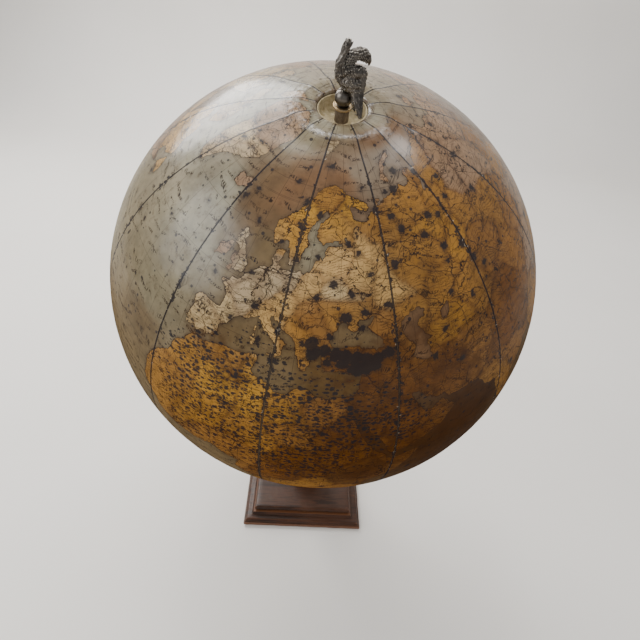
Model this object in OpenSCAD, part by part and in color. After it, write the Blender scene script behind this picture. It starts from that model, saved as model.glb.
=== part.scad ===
// Antique twelve-inch terrestrial globe on an inclined steel axis, with a
// turned wooden stand, a moulded square plinth and a cast eagle finial.
// The origin is the centre of the plinth's underside, +Z is up, and the axis
// leans towards -Y.

/* [Globe] */
// Outside diameter of the paper-covered ball
globe_d = 304.8; // [250:0.1:360]
// Tilt of the axis from the vertical, in degrees
tilt = 23.5; // [15:0.5:25]
// Height of the ball's centre above the table
centre_h = 338; // [330:1:400]
// Distance along the axis from the ball's centre to the stand's own centre line
reach = 183; // [182:1:190]
// Azimuth about the axis at which the prime meridian rests, in degrees
rest_turn = -118.4; // [-180:0.1:180]
// Wall of the pasteboard and plaster shell
shell_t = 4; // [3:0.5:6]
// Thickness of the varnished paper gores
paper_t = 0.3; // [0.2:0.05:0.6]
// Number of gores
gore_count = 12; // [12:1:12]
// Gap between neighbouring gores, in degrees
gore_gap = 0.13; // [0.05:0.01:0.4]
// Longitude of the first gore edge, in degrees east
first_edge = 15; // [0:1:30]

/* [Polar recess] */
// Inside diameter of the recess at the north pole
recess_d = 26.7; // [20:0.1:32]
// Depth of the recess
recess_depth = 8.2; // [6:0.1:12]
// Outside diameter of the axis tube that stands in the recess
tube_d = 7.6; // [7:0.1:9]

/* [Axis] */
// Diameter of the steel axis rod
rod_d = 5; // [4:0.1:5.4]
// Diameter of the threaded top end of the rod
thread_d = 4; // [3:0.1:4]
// Length of the threaded top end of the rod
thread_l = 6; // [4:0.5:6]
// Running clearance on the radius
run = 0.05; // [0.02:0.01:0.1]
// Assembly clearance on the radius between fixed pieces
fit = 0.02; // [0.01:0.01:0.05]

/* [Finial] */
// Diameter of the finial ball
ball_d = 9.2; // [8:0.1:10]
// Diameter of the washer under the finial
washer_d = 10.4; // [9:0.1:12]
// Heading of the eagle about the axis, in degrees
eagle_turn = 105; // [0:1:360]

/* [Stand] */
// Side of the square plinth at its foot
plinth_w = 136; // [130:1:160]
// Side of the plinth where the ogee ends
ogee_w = 115; // [105:1:120]
// Height at which the ogee ends
ogee_h = 12.2; // [11:0.1:16]
// Side of the flat top of the plinth
top_w = 108; // [100:1:110]
// Height of the flat top of the plinth
plinth_h = 18.8; // [17:0.1:24]
// Radius of the column's foot
foot_r = 25; // [22:1:26]
// Diameter of the brass knuckle that holds the rod
knuckle_d = 27; // [24:1:30]

/* [Hidden] */
$fn = 96;
globe_r = globe_d / 2;
shell_r = globe_r - paper_t;
inner_r = shell_r - shell_t;
rod_r = rod_d / 2;
thread_r = thread_d / 2;
tube_r = tube_d / 2;
bush_r = tube_r - 0.8;
recess_r = recess_d / 2;
cup_r = recess_r + 1;
// Height along the axis of the plane of the recess's rim
rim_z = sqrt(globe_r * globe_r - cup_r * cup_r);
cup_z = rim_z - recess_depth - 1.5;
tube_top = rim_z - 0.3;
// The rod's shoulder stands proud of the tube, so that the finial can't clamp the ball
shoulder_z = tube_top + 0.3;
lip_z = shoulder_z + 0.1;
washer_z = lip_z + 0.25;
washer_t = 1.2;
ball_z = washer_z + washer_t + 3.95;
spigot_r = 3.3;
hub_r = 30;
hub_t = 16;
// Radius and face of the wooden boss that comes out at the south pole
boss_r = 12;
boss_z = -sqrt(globe_r * globe_r - boss_r * boss_r) + 0.1;
flange_t = 1.5;
thrust_z = boss_z - flange_t - 0.1;
thrust_t = 1.2;
collar_z = thrust_z - thrust_t - 0.1;
collar_l = 8;
collar_r = 7.5;
collar_mid = collar_z - collar_l / 2;
collar_screw_r = 1.5;
thrust_r = 8;
knuckle_r = knuckle_d / 2;
knuckle_z = centre_h - reach * cos(tilt);
rod_end = -reach - 8;
// Levels of the stand
felt_t = 1.5;
ballast_w = 104;
ballast_t = 7;
plate_z = felt_t + 0.1;
// Wood screws of the ballast plate: their places, shank, head and length
screw_at = 40;
screw_r = 2;
screw_head_r = 4;
screw_head_t = 2;
screw_shank_l = 5.8;
screw_point_l = 2.2;
cap_z = ogee_h + 0.02;
column_top = 153;
ferrule_z = 140;
bolt_r = 4;
bolt_tip = 62;
bolt_head_t = 4.4;
// The column's foot is let into the cap by this much
foot_tenon = 3;
tenon_r = 12;
stem_r = 5;
stem_l = 20;
clamp_r = 2;
// Longer than any hole is deep, for cutting tools
through = 40;
gore_step = 360 / gore_count;

GORES = [for (i = [1 : gore_count]) str("gore_", i < 10 ? "0" : "", i)];

// ---- helpers ----

// Places a piece on the inclined axis, with z = 0 at the ball's centre
module on_axis() {
    translate([0, -reach * sin(tilt), centre_h]) rotate([tilt, 0, 0]) children();
}

// A round ring or disc from z0 to z1
module ring(r_out, r_in, z0, z1) {
    translate([0, 0, z0]) difference() {
        cylinder(r = r_out, h = z1 - z0);
        if (r_in > 0) translate([0, 0, -1]) cylinder(r = r_in, h = z1 - z0 + 2);
    }
}

// Half of a section between two radii, from height z0 to z1, clear of the axis by r0
module band_section(r_out, r_in, r0, z0, z1) {
    intersection() {
        difference() {
            circle(r = r_out);
            circle(r = r_in);
        }
        translate([r0, z0]) square([r_out, z1 - z0]);
    }
}

// Children at the four places of the ballast plate's screws
module at_screws() {
    for (x = [-1, 1], y = [-1, 1]) translate([screw_at * x, screw_at * y, 0]) children();
}

// A square block with the same moulding on its four sides, mitred at the corners
module moulded_square(w) {
    intersection() {
        rotate([90, 0, 0]) translate([0, 0, -w]) linear_extrude(2 * w) children();
        rotate([90, 0, 90]) translate([0, 0, -w]) linear_extrude(2 * w) children();
    }
}

// ---- plinth ----

// Baize glued under the plinth
module felt_pad() {
    side = plinth_w - 6;
    color("darkolivegreen") translate([-side / 2, -side / 2, 0]) cube([side, side, felt_t]);
}

// Iron plate let into the underside, which keeps the leaning globe upright
module ballast_plate() {
    bolt_hole_r = bolt_r + 5.2;
    color("dimgray") difference() {
        translate([-ballast_w / 2, -ballast_w / 2, plate_z]) cube([ballast_w, ballast_w, ballast_t]);
        cylinder(r = bolt_hole_r, h = through);
        at_screws() {
            cylinder(r = screw_r + 0.1, h = through);
            translate([0, 0, plate_z])
                cylinder(r1 = screw_head_r + 0.1, r2 = screw_r + 0.1, h = screw_head_t);
        }
    }
}

// Four countersunk wood screws that hold the ballast plate
module ballast_screws() {
    color("silver") at_screws() translate([0, 0, plate_z]) {
        cylinder(r1 = screw_head_r, r2 = screw_r, h = screw_head_t);
        translate([0, 0, screw_head_t]) cylinder(r = screw_r, h = screw_shank_l);
        translate([0, 0, screw_head_t + screw_shank_l])
            cylinder(r1 = screw_r, r2 = 0.4, h = screw_point_l);
    }
}

// Section of the plinth's lower part: an upright fillet, then an ogee
module ogee_section() {
    fillet_top = 5.2;
    run_in = (plinth_w - ogee_w) / 2;
    mid = (ogee_h + fillet_top) / 2;
    bulge = ogee_h - mid;
    difference() {
        union() {
            translate([-plinth_w / 2, felt_t]) square([plinth_w, fillet_top - felt_t]);
            translate([-plinth_w / 2 + bulge + 1.5, felt_t])
                square([plinth_w - 2 * bulge - 3, mid - felt_t]);
            for (s = [-1, 1]) translate([s * (plinth_w / 2 - 1.5 - bulge), fillet_top - 0.1])
                intersection() {
                    circle(r = bulge + 0.1);
                    translate([-bulge - 1, 0]) square([2 * bulge + 2, bulge + 0.1]);
                }
            translate([-ogee_w / 2 - 2.5, felt_t]) square([ogee_w + 5, ogee_h - felt_t]);
        }
        for (s = [-1, 1]) translate([s * (ogee_w / 2 + bulge - 0.2), ogee_h]) circle(r = bulge - 0.2);
        for (s = [-1, 1]) translate([s * (ogee_w / 2 + run_in / 2), ogee_h - 0.01])
            translate([-run_in / 2, 0]) square([run_in, 5]);
    }
}

module plinth_base() {
    color("saddlebrown") difference() {
        moulded_square(plinth_w) ogee_section();
        translate([-ballast_w / 2 - 0.1, -ballast_w / 2 - 0.1, 0])
            cube([ballast_w + 0.2, ballast_w + 0.2, felt_t + ballast_t + 0.2]);
        cylinder(r = bolt_r + fit, h = through);
        at_screws() cylinder(r = screw_r + 0.05, h = through);
    }
}

// Section of the plinth's upper part: a quirk, a half-round bead and the flat top
module cap_section() {
    bead_r = (plinth_h - cap_z - 1.4) / 2;
    union() {
        translate([-top_w / 2 + 0.5, cap_z]) square([top_w - 1, plinth_h - cap_z]);
        for (s = [-1, 1]) translate([s * (top_w / 2 - 0.5), plinth_h - bead_r - 0.1])
            circle(r = bead_r);
        translate([-top_w / 2 - 1, cap_z]) square([top_w + 2, 0.9]);
    }
}

module plinth_cap() {
    color("sienna") difference() {
        moulded_square(top_w) cap_section();
        cylinder(r = bolt_r + fit, h = through);
        translate([0, 0, plinth_h - foot_tenon]) cylinder(r = tenon_r + fit, h = 10);
    }
}

// ---- column ----

// Hexagon bolt that comes up through the plinth into the column
module column_bolt() {
    color("gray") {
        translate([0, 0, felt_t + 0.2]) cylinder(r = 7.2, h = bolt_head_t, $fn = 6);
        translate([0, 0, felt_t + 4]) cylinder(r = bolt_r, h = bolt_tip - felt_t - 4);
    }
}

module column_washer() {
    color("silver") ring(8.6, bolt_r + fit, felt_t + 4.7, felt_t + ballast_t + 0.1);
}

// Turned profile of the column as radius and height, with rounds added after it
function vase_r(u) = 13.2 + 6.6 * sin(180 * pow(u, 0.62)) - 4.4 * u;
module column_section() {
    vase_z = 33;
    vase_l = 84;
    steps = 28;
    // The foot's rounded edge, the cove above it and the two rings
    foot_edge = 2.4;
    cove_r = 3.6;
    low_ring = [17.4, plinth_h + 11.4, 2.6];
    high_ring = [10.4, 121.8, 2.5];
    neck = [8.8, 131];
    bell_r = 12.6;
    square([tenon_r, column_top]);
    translate([0, plinth_h + 0.02]) square([foot_r - foot_edge, 2 * foot_edge]);
    translate([foot_r - foot_edge, plinth_h + 0.02 + foot_edge]) circle(r = foot_edge);
    difference() {
        translate([0, plinth_h + 4]) square([20.5, 5.5]);
        translate([21.8, plinth_h + 8.3]) circle(r = cove_r);
    }
    translate([low_ring[0], low_ring[1]]) circle(r = low_ring[2]);
    translate([0, plinth_h + 8.8]) square([low_ring[0], 5.2]);
    polygon(concat([[0, vase_z]],
        [for (i = [0 : steps]) [vase_r(i / steps), vase_z + vase_l * i / steps]],
        [[0, vase_z + vase_l]]));
    translate([0, vase_z + vase_l]) square([10.2, 2.4]);
    translate([high_ring[0], high_ring[1]]) circle(r = high_ring[2]);
    translate([0, high_ring[1] - high_ring[2]]) square([high_ring[0], 2 * high_ring[2]]);
    polygon([[0, 124.2], [neck[0], 124.2], neck, [bell_r, ferrule_z - 0.6],
        [bell_r, ferrule_z], [0, ferrule_z]]);
}

module column() {
    color("saddlebrown") difference() {
        rotate_extrude() intersection() {
            column_section();
            translate([0, plinth_h - foot_tenon + 0.02])
                square([60, column_top - plinth_h + foot_tenon - 0.02]);
        }
        translate([0, 0, -1]) cylinder(r = bolt_r + fit, h = bolt_tip + 2);
        translate([0, 0, column_top - stem_l - 2]) cylinder(r = stem_r + fit, h = through);
    }
}

// Brass ferrule round the column's top
module ferrule() {
    bead_at = tenon_r + 0.8;
    color("goldenrod") rotate_extrude() difference() {
        union() {
            translate([tenon_r + fit, ferrule_z + 0.05]) square([1.2, column_top - ferrule_z + 1]);
            translate([bead_at, ferrule_z + 1.6]) circle(r = 1.5);
            translate([bead_at, column_top - 0.2]) circle(r = 1.2);
            translate([7.4, column_top + 0.05]) square([bead_at - 7.4, 0.95]);
        }
        square([tenon_r + fit, column_top + 0.05]);
        translate([0, ferrule_z - 5]) square([through, 5.05]);
    }
}

// Brass ball with a stem into the column and an inclined hole for the rod
module rod_knuckle() {
    color("goldenrod") difference() {
        union() {
            translate([0, 0, knuckle_z]) sphere(r = knuckle_r);
            translate([0, 0, column_top - stem_l]) cylinder(r = stem_r, h = stem_l + 10);
            translate([0, 0, column_top + 1.05]) cylinder(r = 7.2, h = 6);
        }
        on_axis() translate([0, 0, rod_end]) cylinder(r = rod_r + fit, h = 60);
        translate([0, 0, knuckle_z]) rotate([0, 90, 0]) cylinder(r = clamp_r + fit, h = through);
        translate([knuckle_r - 1.6, 0, knuckle_z]) rotate([0, 90, 0]) cylinder(r = 4.2, h = 10);
    }
}

// Slotted screw that clamps the rod in the knuckle
module knuckle_screw() {
    color("silver") translate([0, 0, knuckle_z]) rotate([0, 90, 0]) difference() {
        union() {
            translate([0, 0, rod_r + 0.1]) cylinder(r = clamp_r, h = knuckle_r - rod_r);
            translate([0, 0, knuckle_r - 1.5]) cylinder(r = 3.6, h = 2.6);
        }
        translate([-5, -0.45, knuckle_r + 0.1]) cube([10, 0.9, 5]);
    }
}

// ---- axis ----

module axis_rod() {
    color("silver") on_axis() {
        translate([0, 0, rod_end + 0.1]) cylinder(r = rod_r, h = shoulder_z - rod_end - 0.1);
        translate([0, 0, shoulder_z - 1]) cylinder(r = thread_r, h = thread_l + 1);
    }
}

module south_collar() {
    color("goldenrod") on_axis() difference() {
        rotate_extrude() difference() {
            translate([rod_r + fit, collar_z - collar_l]) square([collar_r - rod_r - fit, collar_l]);
            translate([collar_r + 0.9, collar_mid]) circle(r = 1.6);
        }
        translate([0, 0, collar_mid]) rotate([90, 0, 0])
            cylinder(r = collar_screw_r + fit, h = through);
    }
}

module collar_screw() {
    color("silver") on_axis() translate([0, 0, collar_mid]) rotate([90, 0, 0])
        difference() {
            translate([0, 0, rod_r + 0.05])
                cylinder(r = collar_screw_r, h = collar_r - rod_r + 0.8);
            translate([-5, -0.3, collar_r + 0.3]) cube([10, 0.6, 5]);
        }
}

module thrust_washer() {
    color("lightgray") on_axis() ring(thrust_r, rod_r + run, thrust_z - thrust_t, thrust_z);
}

// ---- ball ----

module shell_south() {
    color("wheat") on_axis() rotate_extrude()
        band_section(shell_r, inner_r, boss_r + fit, -globe_r, -0.1);
}

module shell_north() {
    color("wheat") on_axis() rotate_extrude()
        band_section(shell_r, inner_r, cup_r + fit, 0.1, globe_r);
}

// Pasteboard hoop that splices the two halves inside the equator
module equator_hoop() {
    half_w = 12;
    thickness = 4.5;
    color("tan") on_axis() rotate_extrude($fn = 360) intersection() {
        circle(r = inner_r - 0.05, $fn = 360);
        translate([inner_r - thickness, -half_w]) square([2 * thickness, 2 * half_w]);
    }
}

// Wooden disc glued inside the south pole, with a boss that comes out of the shell
module south_hub() {
    color("burlywood") on_axis() rotate_extrude() difference() {
        union() {
            intersection() {
                circle(r = inner_r - 0.05);
                translate([0, -inner_r]) square([hub_r, hub_t]);
            }
            translate([0, boss_z]) square([boss_r, hub_t]);
        }
        translate([0, -globe_r - 5]) square([bush_r + 2 + fit, hub_t + 6]);
        translate([0, -globe_r]) square([tube_r + fit, 60]);
    }
}

// Wooden disc glued inside the north pole, which carries the cup and the tube
module north_hub() {
    color("burlywood") on_axis() rotate_extrude() difference() {
        intersection() {
            circle(r = inner_r - 0.05);
            translate([tube_r + fit, inner_r - hub_t]) square([hub_r - tube_r, hub_t]);
        }
        translate([0, cup_z - 0.05]) square([cup_r + fit, 30]);
    }
}

// Wooden tube from pole to pole, whose north end stands in the recess
module axis_tube() {
    south_end = -globe_r + hub_t - 3;
    color("rosybrown") on_axis() ring(tube_r, bush_r + fit, south_end, tube_top);
}

// Flanged brass bush on which the ball's weight rests
module south_bush() {
    color("goldenrod") on_axis() difference() {
        union() {
            ring(9, 0, boss_z - flange_t, boss_z - 0.02);
            ring(bush_r + 2, 0, boss_z - 0.1, boss_z + 8);
        }
        translate([0, 0, -globe_r - 10]) cylinder(r = rod_r + run, h = 40);
    }
}

module north_bush() {
    color("goldenrod") on_axis() ring(bush_r, rod_r + run, tube_top - 14, tube_top);
}

// Cream plaster cup that lines the polar recess
module polar_cup() {
    color("cornsilk") on_axis() rotate_extrude() difference() {
        translate([tube_r + fit, cup_z]) square([cup_r - tube_r - fit, rim_z - cup_z]);
        translate([0, cup_z + 1.5 + 2]) square([recess_r, 20]);
        translate([0, cup_z + 1.5]) square([recess_r - 2, 20]);
        translate([recess_r - 2, cup_z + 3.5]) circle(r = 2);
    }
}

// One printed paper gore, from edge to edge
module gore(i) {
    from = rest_turn + first_edge + gore_step * (i - 1) + gore_gap / 2;
    color(i % 2 == 0 ? "darkkhaki" : "tan") on_axis() rotate([0, 0, from])
        rotate_extrude(angle = gore_step - gore_gap) difference() {
            band_section(globe_r, shell_r + 0.005, boss_r + fit, -globe_r, globe_r);
            square([cup_r + fit, globe_r]);
        }
}

// ---- finial ----

// Captive washer that turns on the finial's spigot
module finial_washer() {
    color("goldenrod") on_axis() ring(washer_d / 2, spigot_r + run, washer_z, washer_z + washer_t);
}

// Ball with a threaded spigot, whose spun lip holds the washer
module finial_ball() {
    color("darkslategray") on_axis() difference() {
        union() {
            intersection() {
                translate([0, 0, ball_z]) sphere(r = ball_d / 2);
                translate([0, 0, washer_z + washer_t + 0.1]) cylinder(r = ball_d, h = ball_d);
            }
            ring(spigot_r, 0, lip_z, ball_z - 2);
            ring(spigot_r + 0.3, 0, lip_z, lip_z + 0.18);
        }
        translate([0, 0, lip_z - 1]) cylinder(r = thread_r + run, h = thread_l + 1.6);
    }
}

// A rounded limb through balls given as [forward, left, up, radius]
module limb(balls) {
    hull() for (b = balls) translate([b[0], b[1], b[2]]) sphere(r = b[3], $fn = 18);
}

// Cast eagle: one wing is raised, the other hangs, and the head looks over its shoulder
module eagle() {
    color("darkslategray") on_axis() translate([0, 0, ball_z]) rotate([0, 0, eagle_turn]) {
        limb([[1.2, -0.9, 13.5, 4.2], [-3.2, -2.2, 7.5, 3.2]]);
        limb([[1.6, -1, 15.5, 3], [3, -3.6, 19.6, 2.3]]);
        limb([[3, -3.6, 19.8, 2.2], [3, -8.8, 20.2, 2.4]]);
        limb([[2.9, -9.6, 19.6, 2.1], [2.8, -11.4, 17.6, 1.2], [2.3, -12, 14.9, 0.5]]);
        limb([[-0.5, 2.2, 9.5, 1.6], [0.8, 4, 15, 1.3], [2, 3.2, 20, 1.1], [2.6, -0.1, 26.4, 0.9]]);
        limb([[-1.8, -7.6, 13.6, 1.8], [-1.6, -4.4, 12.4, 2.2], [-4.4, -6.8, 5.6, 1.6],
            [-5, -3.6, 5, 1.8]]);
        limb([[-4.6, -6.6, 5.4, 1.5], [-5, -3.2, 4.4, 1.6], [-10.2, -5.2, -2.9, 0.9]]);
        limb([[0.4, 1.1, 9.5, 1.1], [0.2, 1.3, 4.1, 0.9]]);
        limb([[0.4, -2.2, 9.5, 1.1], [0.2, -1.3, 4.1, 0.9]]);
    }
}

// ---- what is drawn ----

felt_pad();
ballast_plate();
ballast_screws();
plinth_base();
plinth_cap();
column_bolt();
column_washer();
column();
ferrule();
rod_knuckle();
knuckle_screw();
axis_rod();
south_collar();
collar_screw();
thrust_washer();
shell_south();
shell_north();
equator_hoop();
south_hub();
north_hub();
axis_tube();
south_bush();
north_bush();
polar_cup();
finial_washer();
finial_ball();
eagle();
for (i = [1 : gore_count])
    gore(i);
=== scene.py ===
# %% [markdown]
# # An antique terrestrial globe
# A twelve-inch ball of pasteboard and plaster carries twelve printed and varnished paper gores. It
# leans on a steel axis over a turned walnut column, and a cast eagle is screwed on above the pole.
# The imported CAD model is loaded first. It fixes every size and joint, and each piece made here
# stands in the place of a CAD node or gives it its finish.

# %% Load the frame
import math

import bpy
import numpy as np
from mathutils import Matrix, Vector
from mathutils.bvhtree import BVHTree


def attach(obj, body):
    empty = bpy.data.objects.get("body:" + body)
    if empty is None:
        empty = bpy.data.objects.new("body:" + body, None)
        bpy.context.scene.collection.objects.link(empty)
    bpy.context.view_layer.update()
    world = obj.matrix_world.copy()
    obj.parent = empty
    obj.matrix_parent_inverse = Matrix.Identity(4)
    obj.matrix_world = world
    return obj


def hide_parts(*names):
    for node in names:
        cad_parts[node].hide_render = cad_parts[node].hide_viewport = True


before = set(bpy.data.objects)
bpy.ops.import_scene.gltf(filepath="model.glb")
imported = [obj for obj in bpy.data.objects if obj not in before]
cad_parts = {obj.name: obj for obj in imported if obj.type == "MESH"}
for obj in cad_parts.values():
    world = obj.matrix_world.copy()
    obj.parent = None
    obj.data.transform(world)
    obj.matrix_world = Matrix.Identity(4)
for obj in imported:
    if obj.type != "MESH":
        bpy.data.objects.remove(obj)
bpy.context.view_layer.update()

MM = 0.001
TILT = math.radians(23.5)
GLOBE_R = 152.4
BALL_HEIGHT, ROD_DROP = 338, 183
CENTRE = Vector((0.0, -ROD_DROP * MM * math.sin(TILT), BALL_HEIGHT * MM))
ON_AXIS = Matrix.Translation(CENTRE) @ Matrix.Rotation(TILT, 4, "X")
REST_TURN = -118.4
print("centre of the ball", [round(c, 4) for c in CENTRE])

# %% [markdown]
# ## The camera
# A picture of a globe from close by shows strong perspective, so the lens and the distance belong
# together. The camera stands in front of the ball and above it, and looks down on the pole.

# %% Camera
eye = bpy.data.cameras.new("lens")
eye.lens, eye.sensor_width = 27.56, 36.0
camera = bpy.data.objects.new("camera", eye)
bpy.context.scene.collection.objects.link(camera)
camera.location = (-0.01534, -0.40457, 0.52942)
camera.rotation_euler = [math.radians(a) for a in (55.4213, -4.0248, 0.0098)]
bpy.context.scene.camera = camera
print("lens", eye.lens, "mm")

# %% [markdown]
# ## Small tools for modelling
# An operator acts on whatever is selected, so each piece starts from an empty selection. A turned
# piece starts as a circle of points that are laid on its outline, which is then spun round the
# axis. A square moulding starts as a plane that is extruded and resized, level by level.

# %% Selection, placing and modifiers
def clear_selection():
    if bpy.context.mode != "OBJECT":
        bpy.ops.object.mode_set(mode="OBJECT")
    bpy.ops.object.select_all(action="DESELECT")


def take(piece):
    clear_selection()
    piece.select_set(True)
    bpy.context.view_layer.objects.active = piece


def named(name):
    piece = bpy.context.object
    piece.name = piece.data.name = name
    return piece


def apply(piece, kind, **settings):
    take(piece)
    modifier = piece.modifiers.new(kind.lower(), kind)
    for key, value in settings.items():
        setattr(modifier, key, value)
    bpy.ops.object.modifier_apply(modifier=modifier.name)


def smooth(piece, degrees=35):
    take(piece)
    bpy.ops.object.shade_smooth_by_angle(angle=math.radians(degrees))


def close_up(piece):
    take(piece)
    bpy.ops.object.mode_set(mode="EDIT")
    bpy.ops.mesh.select_all(action="SELECT")
    bpy.ops.mesh.remove_doubles(threshold=1e-6)
    bpy.ops.mesh.normals_make_consistent(inside=False)
    bpy.ops.object.mode_set(mode="OBJECT")


# %% Outlines with rounded corners
CORNER_STEPS = 5


def outline(*corners):
    """A closed outline in millimetres. A corner's third number is the radius that rounds it."""
    points = []
    for i, corner in enumerate(corners):
        here = Vector(corner[:2])
        if len(corner) < 3:
            points.append(here)
            continue
        before = Vector(corners[i - 1][:2]) - here
        after = Vector(corners[(i + 1) % len(corners)][:2]) - here
        half = before.angle(after) / 2
        reach = min(corner[2] / math.tan(half), 0.49 * before.length, 0.49 * after.length)
        before.normalize(), after.normalize()
        middle = here + (before + after).normalized() * reach / math.cos(half)
        start, end = here + before * reach - middle, here + after * reach - middle
        sweep = start.angle_signed(end)
        for k in range(CORNER_STEPS + 1):
            turn = Matrix.Rotation(-sweep * k / CORNER_STEPS, 2)
            points.append(middle + turn @ start)
    return points


def arc_points(r, z, radius, first, last, steps):
    """Points of an arc in a section, from one angle to another, in degrees."""
    angles = [math.radians(first + (last - first) * k / steps) for k in range(steps + 1)]
    return [(r + radius * math.cos(a), z + radius * math.sin(a)) for a in angles]


# %% Turned pieces and square mouldings
def turned(name, points, steps=144, degrees=35, place=Matrix.Identity(4)):
    clear_selection()
    bpy.ops.mesh.primitive_circle_add(vertices=len(points), radius=0.01)
    piece = named(name)
    places = np.array([(max(p[0], 0.0) * MM, 0.0, p[1] * MM) for p in points])
    piece.data.vertices.foreach_set("co", places.ravel())
    bpy.ops.object.mode_set(mode="EDIT")
    bpy.ops.mesh.select_all(action="SELECT")
    bpy.ops.mesh.spin(steps=steps, angle=2 * math.pi, center=(0, 0, 0), axis=(0, 0, 1))
    close_up(piece)
    smooth(piece, degrees)
    piece.data.transform(place)
    return piece


def square_moulding(name, levels):
    """levels are (half of the side, height) in millimetres, from the bottom up."""
    clear_selection()
    half, z = levels[0]
    bpy.ops.mesh.primitive_plane_add(size=2 * half * MM, location=(0, 0, z * MM))
    piece = named(name)
    bpy.ops.object.transform_apply(location=True, rotation=True, scale=True)
    bpy.ops.object.mode_set(mode="EDIT")
    bpy.ops.mesh.select_all(action="SELECT")
    for wider, higher in levels[1:]:
        rise = {"value": (0, 0, (higher - z) * MM)}
        bpy.ops.mesh.extrude_region_move(TRANSFORM_OT_translate=rise)
        grow = wider / half
        bpy.ops.transform.resize(value=(grow, grow, 1), center_override=(0, 0, higher * MM))
        half, z = wider, higher
    close_up(piece)
    return piece


# %% Telling the frame about a piece
def settle(piece, material, body, slot, *nodes):
    piece.data.materials.clear()
    piece.data.materials.append(material)
    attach(piece, body)
    if nodes:
        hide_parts(*nodes)
    low, high = np.array(piece.bound_box).min(0), np.array(piece.bound_box).max(0)
    size = [round(float(c) / MM, 1) for c in high - low]
    print(piece.name, len(piece.data.polygons), "faces", size, "mm")


# %% [markdown]
# ## Small tools for materials
# A material is a net of nodes. These helpers place one node each and wire it, so that a finish
# reads as a few lines. Effects that several finishes share, such as wood grain or grime, are made
# once as node groups with named inputs and outputs.

# %% Placing and wiring nodes
class Net:
    def __init__(self, tree):
        self.tree = tree

    def wire(self, value, socket):
        if isinstance(value, bpy.types.NodeSocket):
            self.tree.links.new(value, socket)
        elif value is not None:
            socket.default_value = value

    def add(self, kind, inputs=None, **settings):
        made = self.tree.nodes.new(kind)
        for key, value in settings.items():
            setattr(made, key, value)
        for key, value in (inputs or {}).items():
            self.wire(value, made.inputs[key])
        return made

    def math(self, operation, *values):
        made = self.add("ShaderNodeMath", operation=operation)
        for value, socket in zip(values, made.inputs):
            self.wire(value, socket)
        return made.outputs[0]

    def plus(self, a, b):
        return self.math("ADD", a, b)

    def minus(self, a, b):
        return self.math("SUBTRACT", a, b)

    def times(self, a, b):
        return self.math("MULTIPLY", a, b)

    def times_plus(self, a, b, c):
        return self.math("MULTIPLY_ADD", a, b, c)

    def over(self, a, b):
        return self.math("DIVIDE", a, b)

    def rest_of(self, share):
        return self.math("SUBTRACT", 1.0, share)

    def unsigned(self, value):
        return self.math("ABSOLUTE", value)

    def most(self, value, *others):
        for other in others:
            value = self.math("MAXIMUM", value, other)
        return value

    def step(self, value, low, high, start=0.0, end=1.0):
        made = self.add("ShaderNodeMapRange", {0: value, 1: low, 2: high, 3: start, 4: end},
                        interpolation_type="SMOOTHSTEP")
        return made.outputs[0]

    def fade(self, value, low, high):
        """1 below low, 0 above high."""
        return self.rest_of(self.step(value, low, high))

    def mix(self, share, a, b, blend="MIX"):
        made = self.add("ShaderNodeMix", data_type="RGBA", blend_type=blend)
        self.wire(share, made.inputs[0]), self.wire(a, made.inputs[6]), self.wire(b, made.inputs[7])
        return made.outputs[2]

    def noise(self, vector, scale, detail=3.0, rough=0.55, warp=0.0):
        made = self.add("ShaderNodeTexNoise", {"Vector": vector, "Scale": scale, "Detail": detail,
                                               "Roughness": rough, "Distortion": warp})
        return made.outputs["Fac"]

    def cells(self, vector, scale, feature="F1", output="Distance"):
        made = self.add("ShaderNodeTexVoronoi", feature=feature)
        self.wire(vector, made.inputs["Vector"]), self.wire(scale, made.inputs["Scale"])
        return made.outputs[output]

    def attribute(self, name, output="Fac"):
        return self.add("ShaderNodeAttribute", attribute_name=name).outputs[output]

    def split(self, vector):
        return self.add("ShaderNodeSeparateXYZ", {0: vector}).outputs

    def place(self, vector, kind="POINT", location=(0, 0, 0), rotation=(0, 0, 0), scale=(1, 1, 1)):
        made = self.add("ShaderNodeMapping", {"Vector": vector, "Location": location,
                                              "Rotation": rotation, "Scale": scale}, vector_type=kind)
        return made.outputs[0]

    def use(self, group, output=None, **inputs):
        made = self.add("ShaderNodeGroup")
        made.node_tree = group
        for key, value in inputs.items():
            self.wire(value, made.inputs[key.replace("_", " ")])
        return made.outputs[output] if output else made.outputs


def paint(red, green, blue):
    """A colour as it looks, from 0 to 255, made linear for the shader."""
    channels = [c / 255 for c in (red, green, blue)]
    return tuple(c / 12.92 if c < 0.04045 else ((c + 0.055) / 1.055) ** 2.4 for c in channels) + (1.0,)


def finish_of(name, **constants):
    """A new material. Its constants are set on the shader's own sockets."""
    material = bpy.data.materials.new(name)
    material.use_nodes = True
    net = Net(material.node_tree)
    shader = material.node_tree.nodes["Principled BSDF"]
    for key, value in constants.items():
        shader.inputs[key.replace("_", " ")].default_value = value
    spot = net.add("ShaderNodeTexCoord").outputs["Object"]
    return material, net, shader, spot


def wire_up(net, shader, colour, rough, height=None, depth=0.1, distance=0.0002):
    net.wire(colour, shader.inputs["Base Color"])
    net.wire(rough, shader.inputs["Roughness"])
    if height is not None:
        bump = net.add("ShaderNodeBump", {"Strength": depth, "Distance": distance, "Height": height})
        net.wire(bump.outputs[0], shader.inputs["Normal"])


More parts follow.
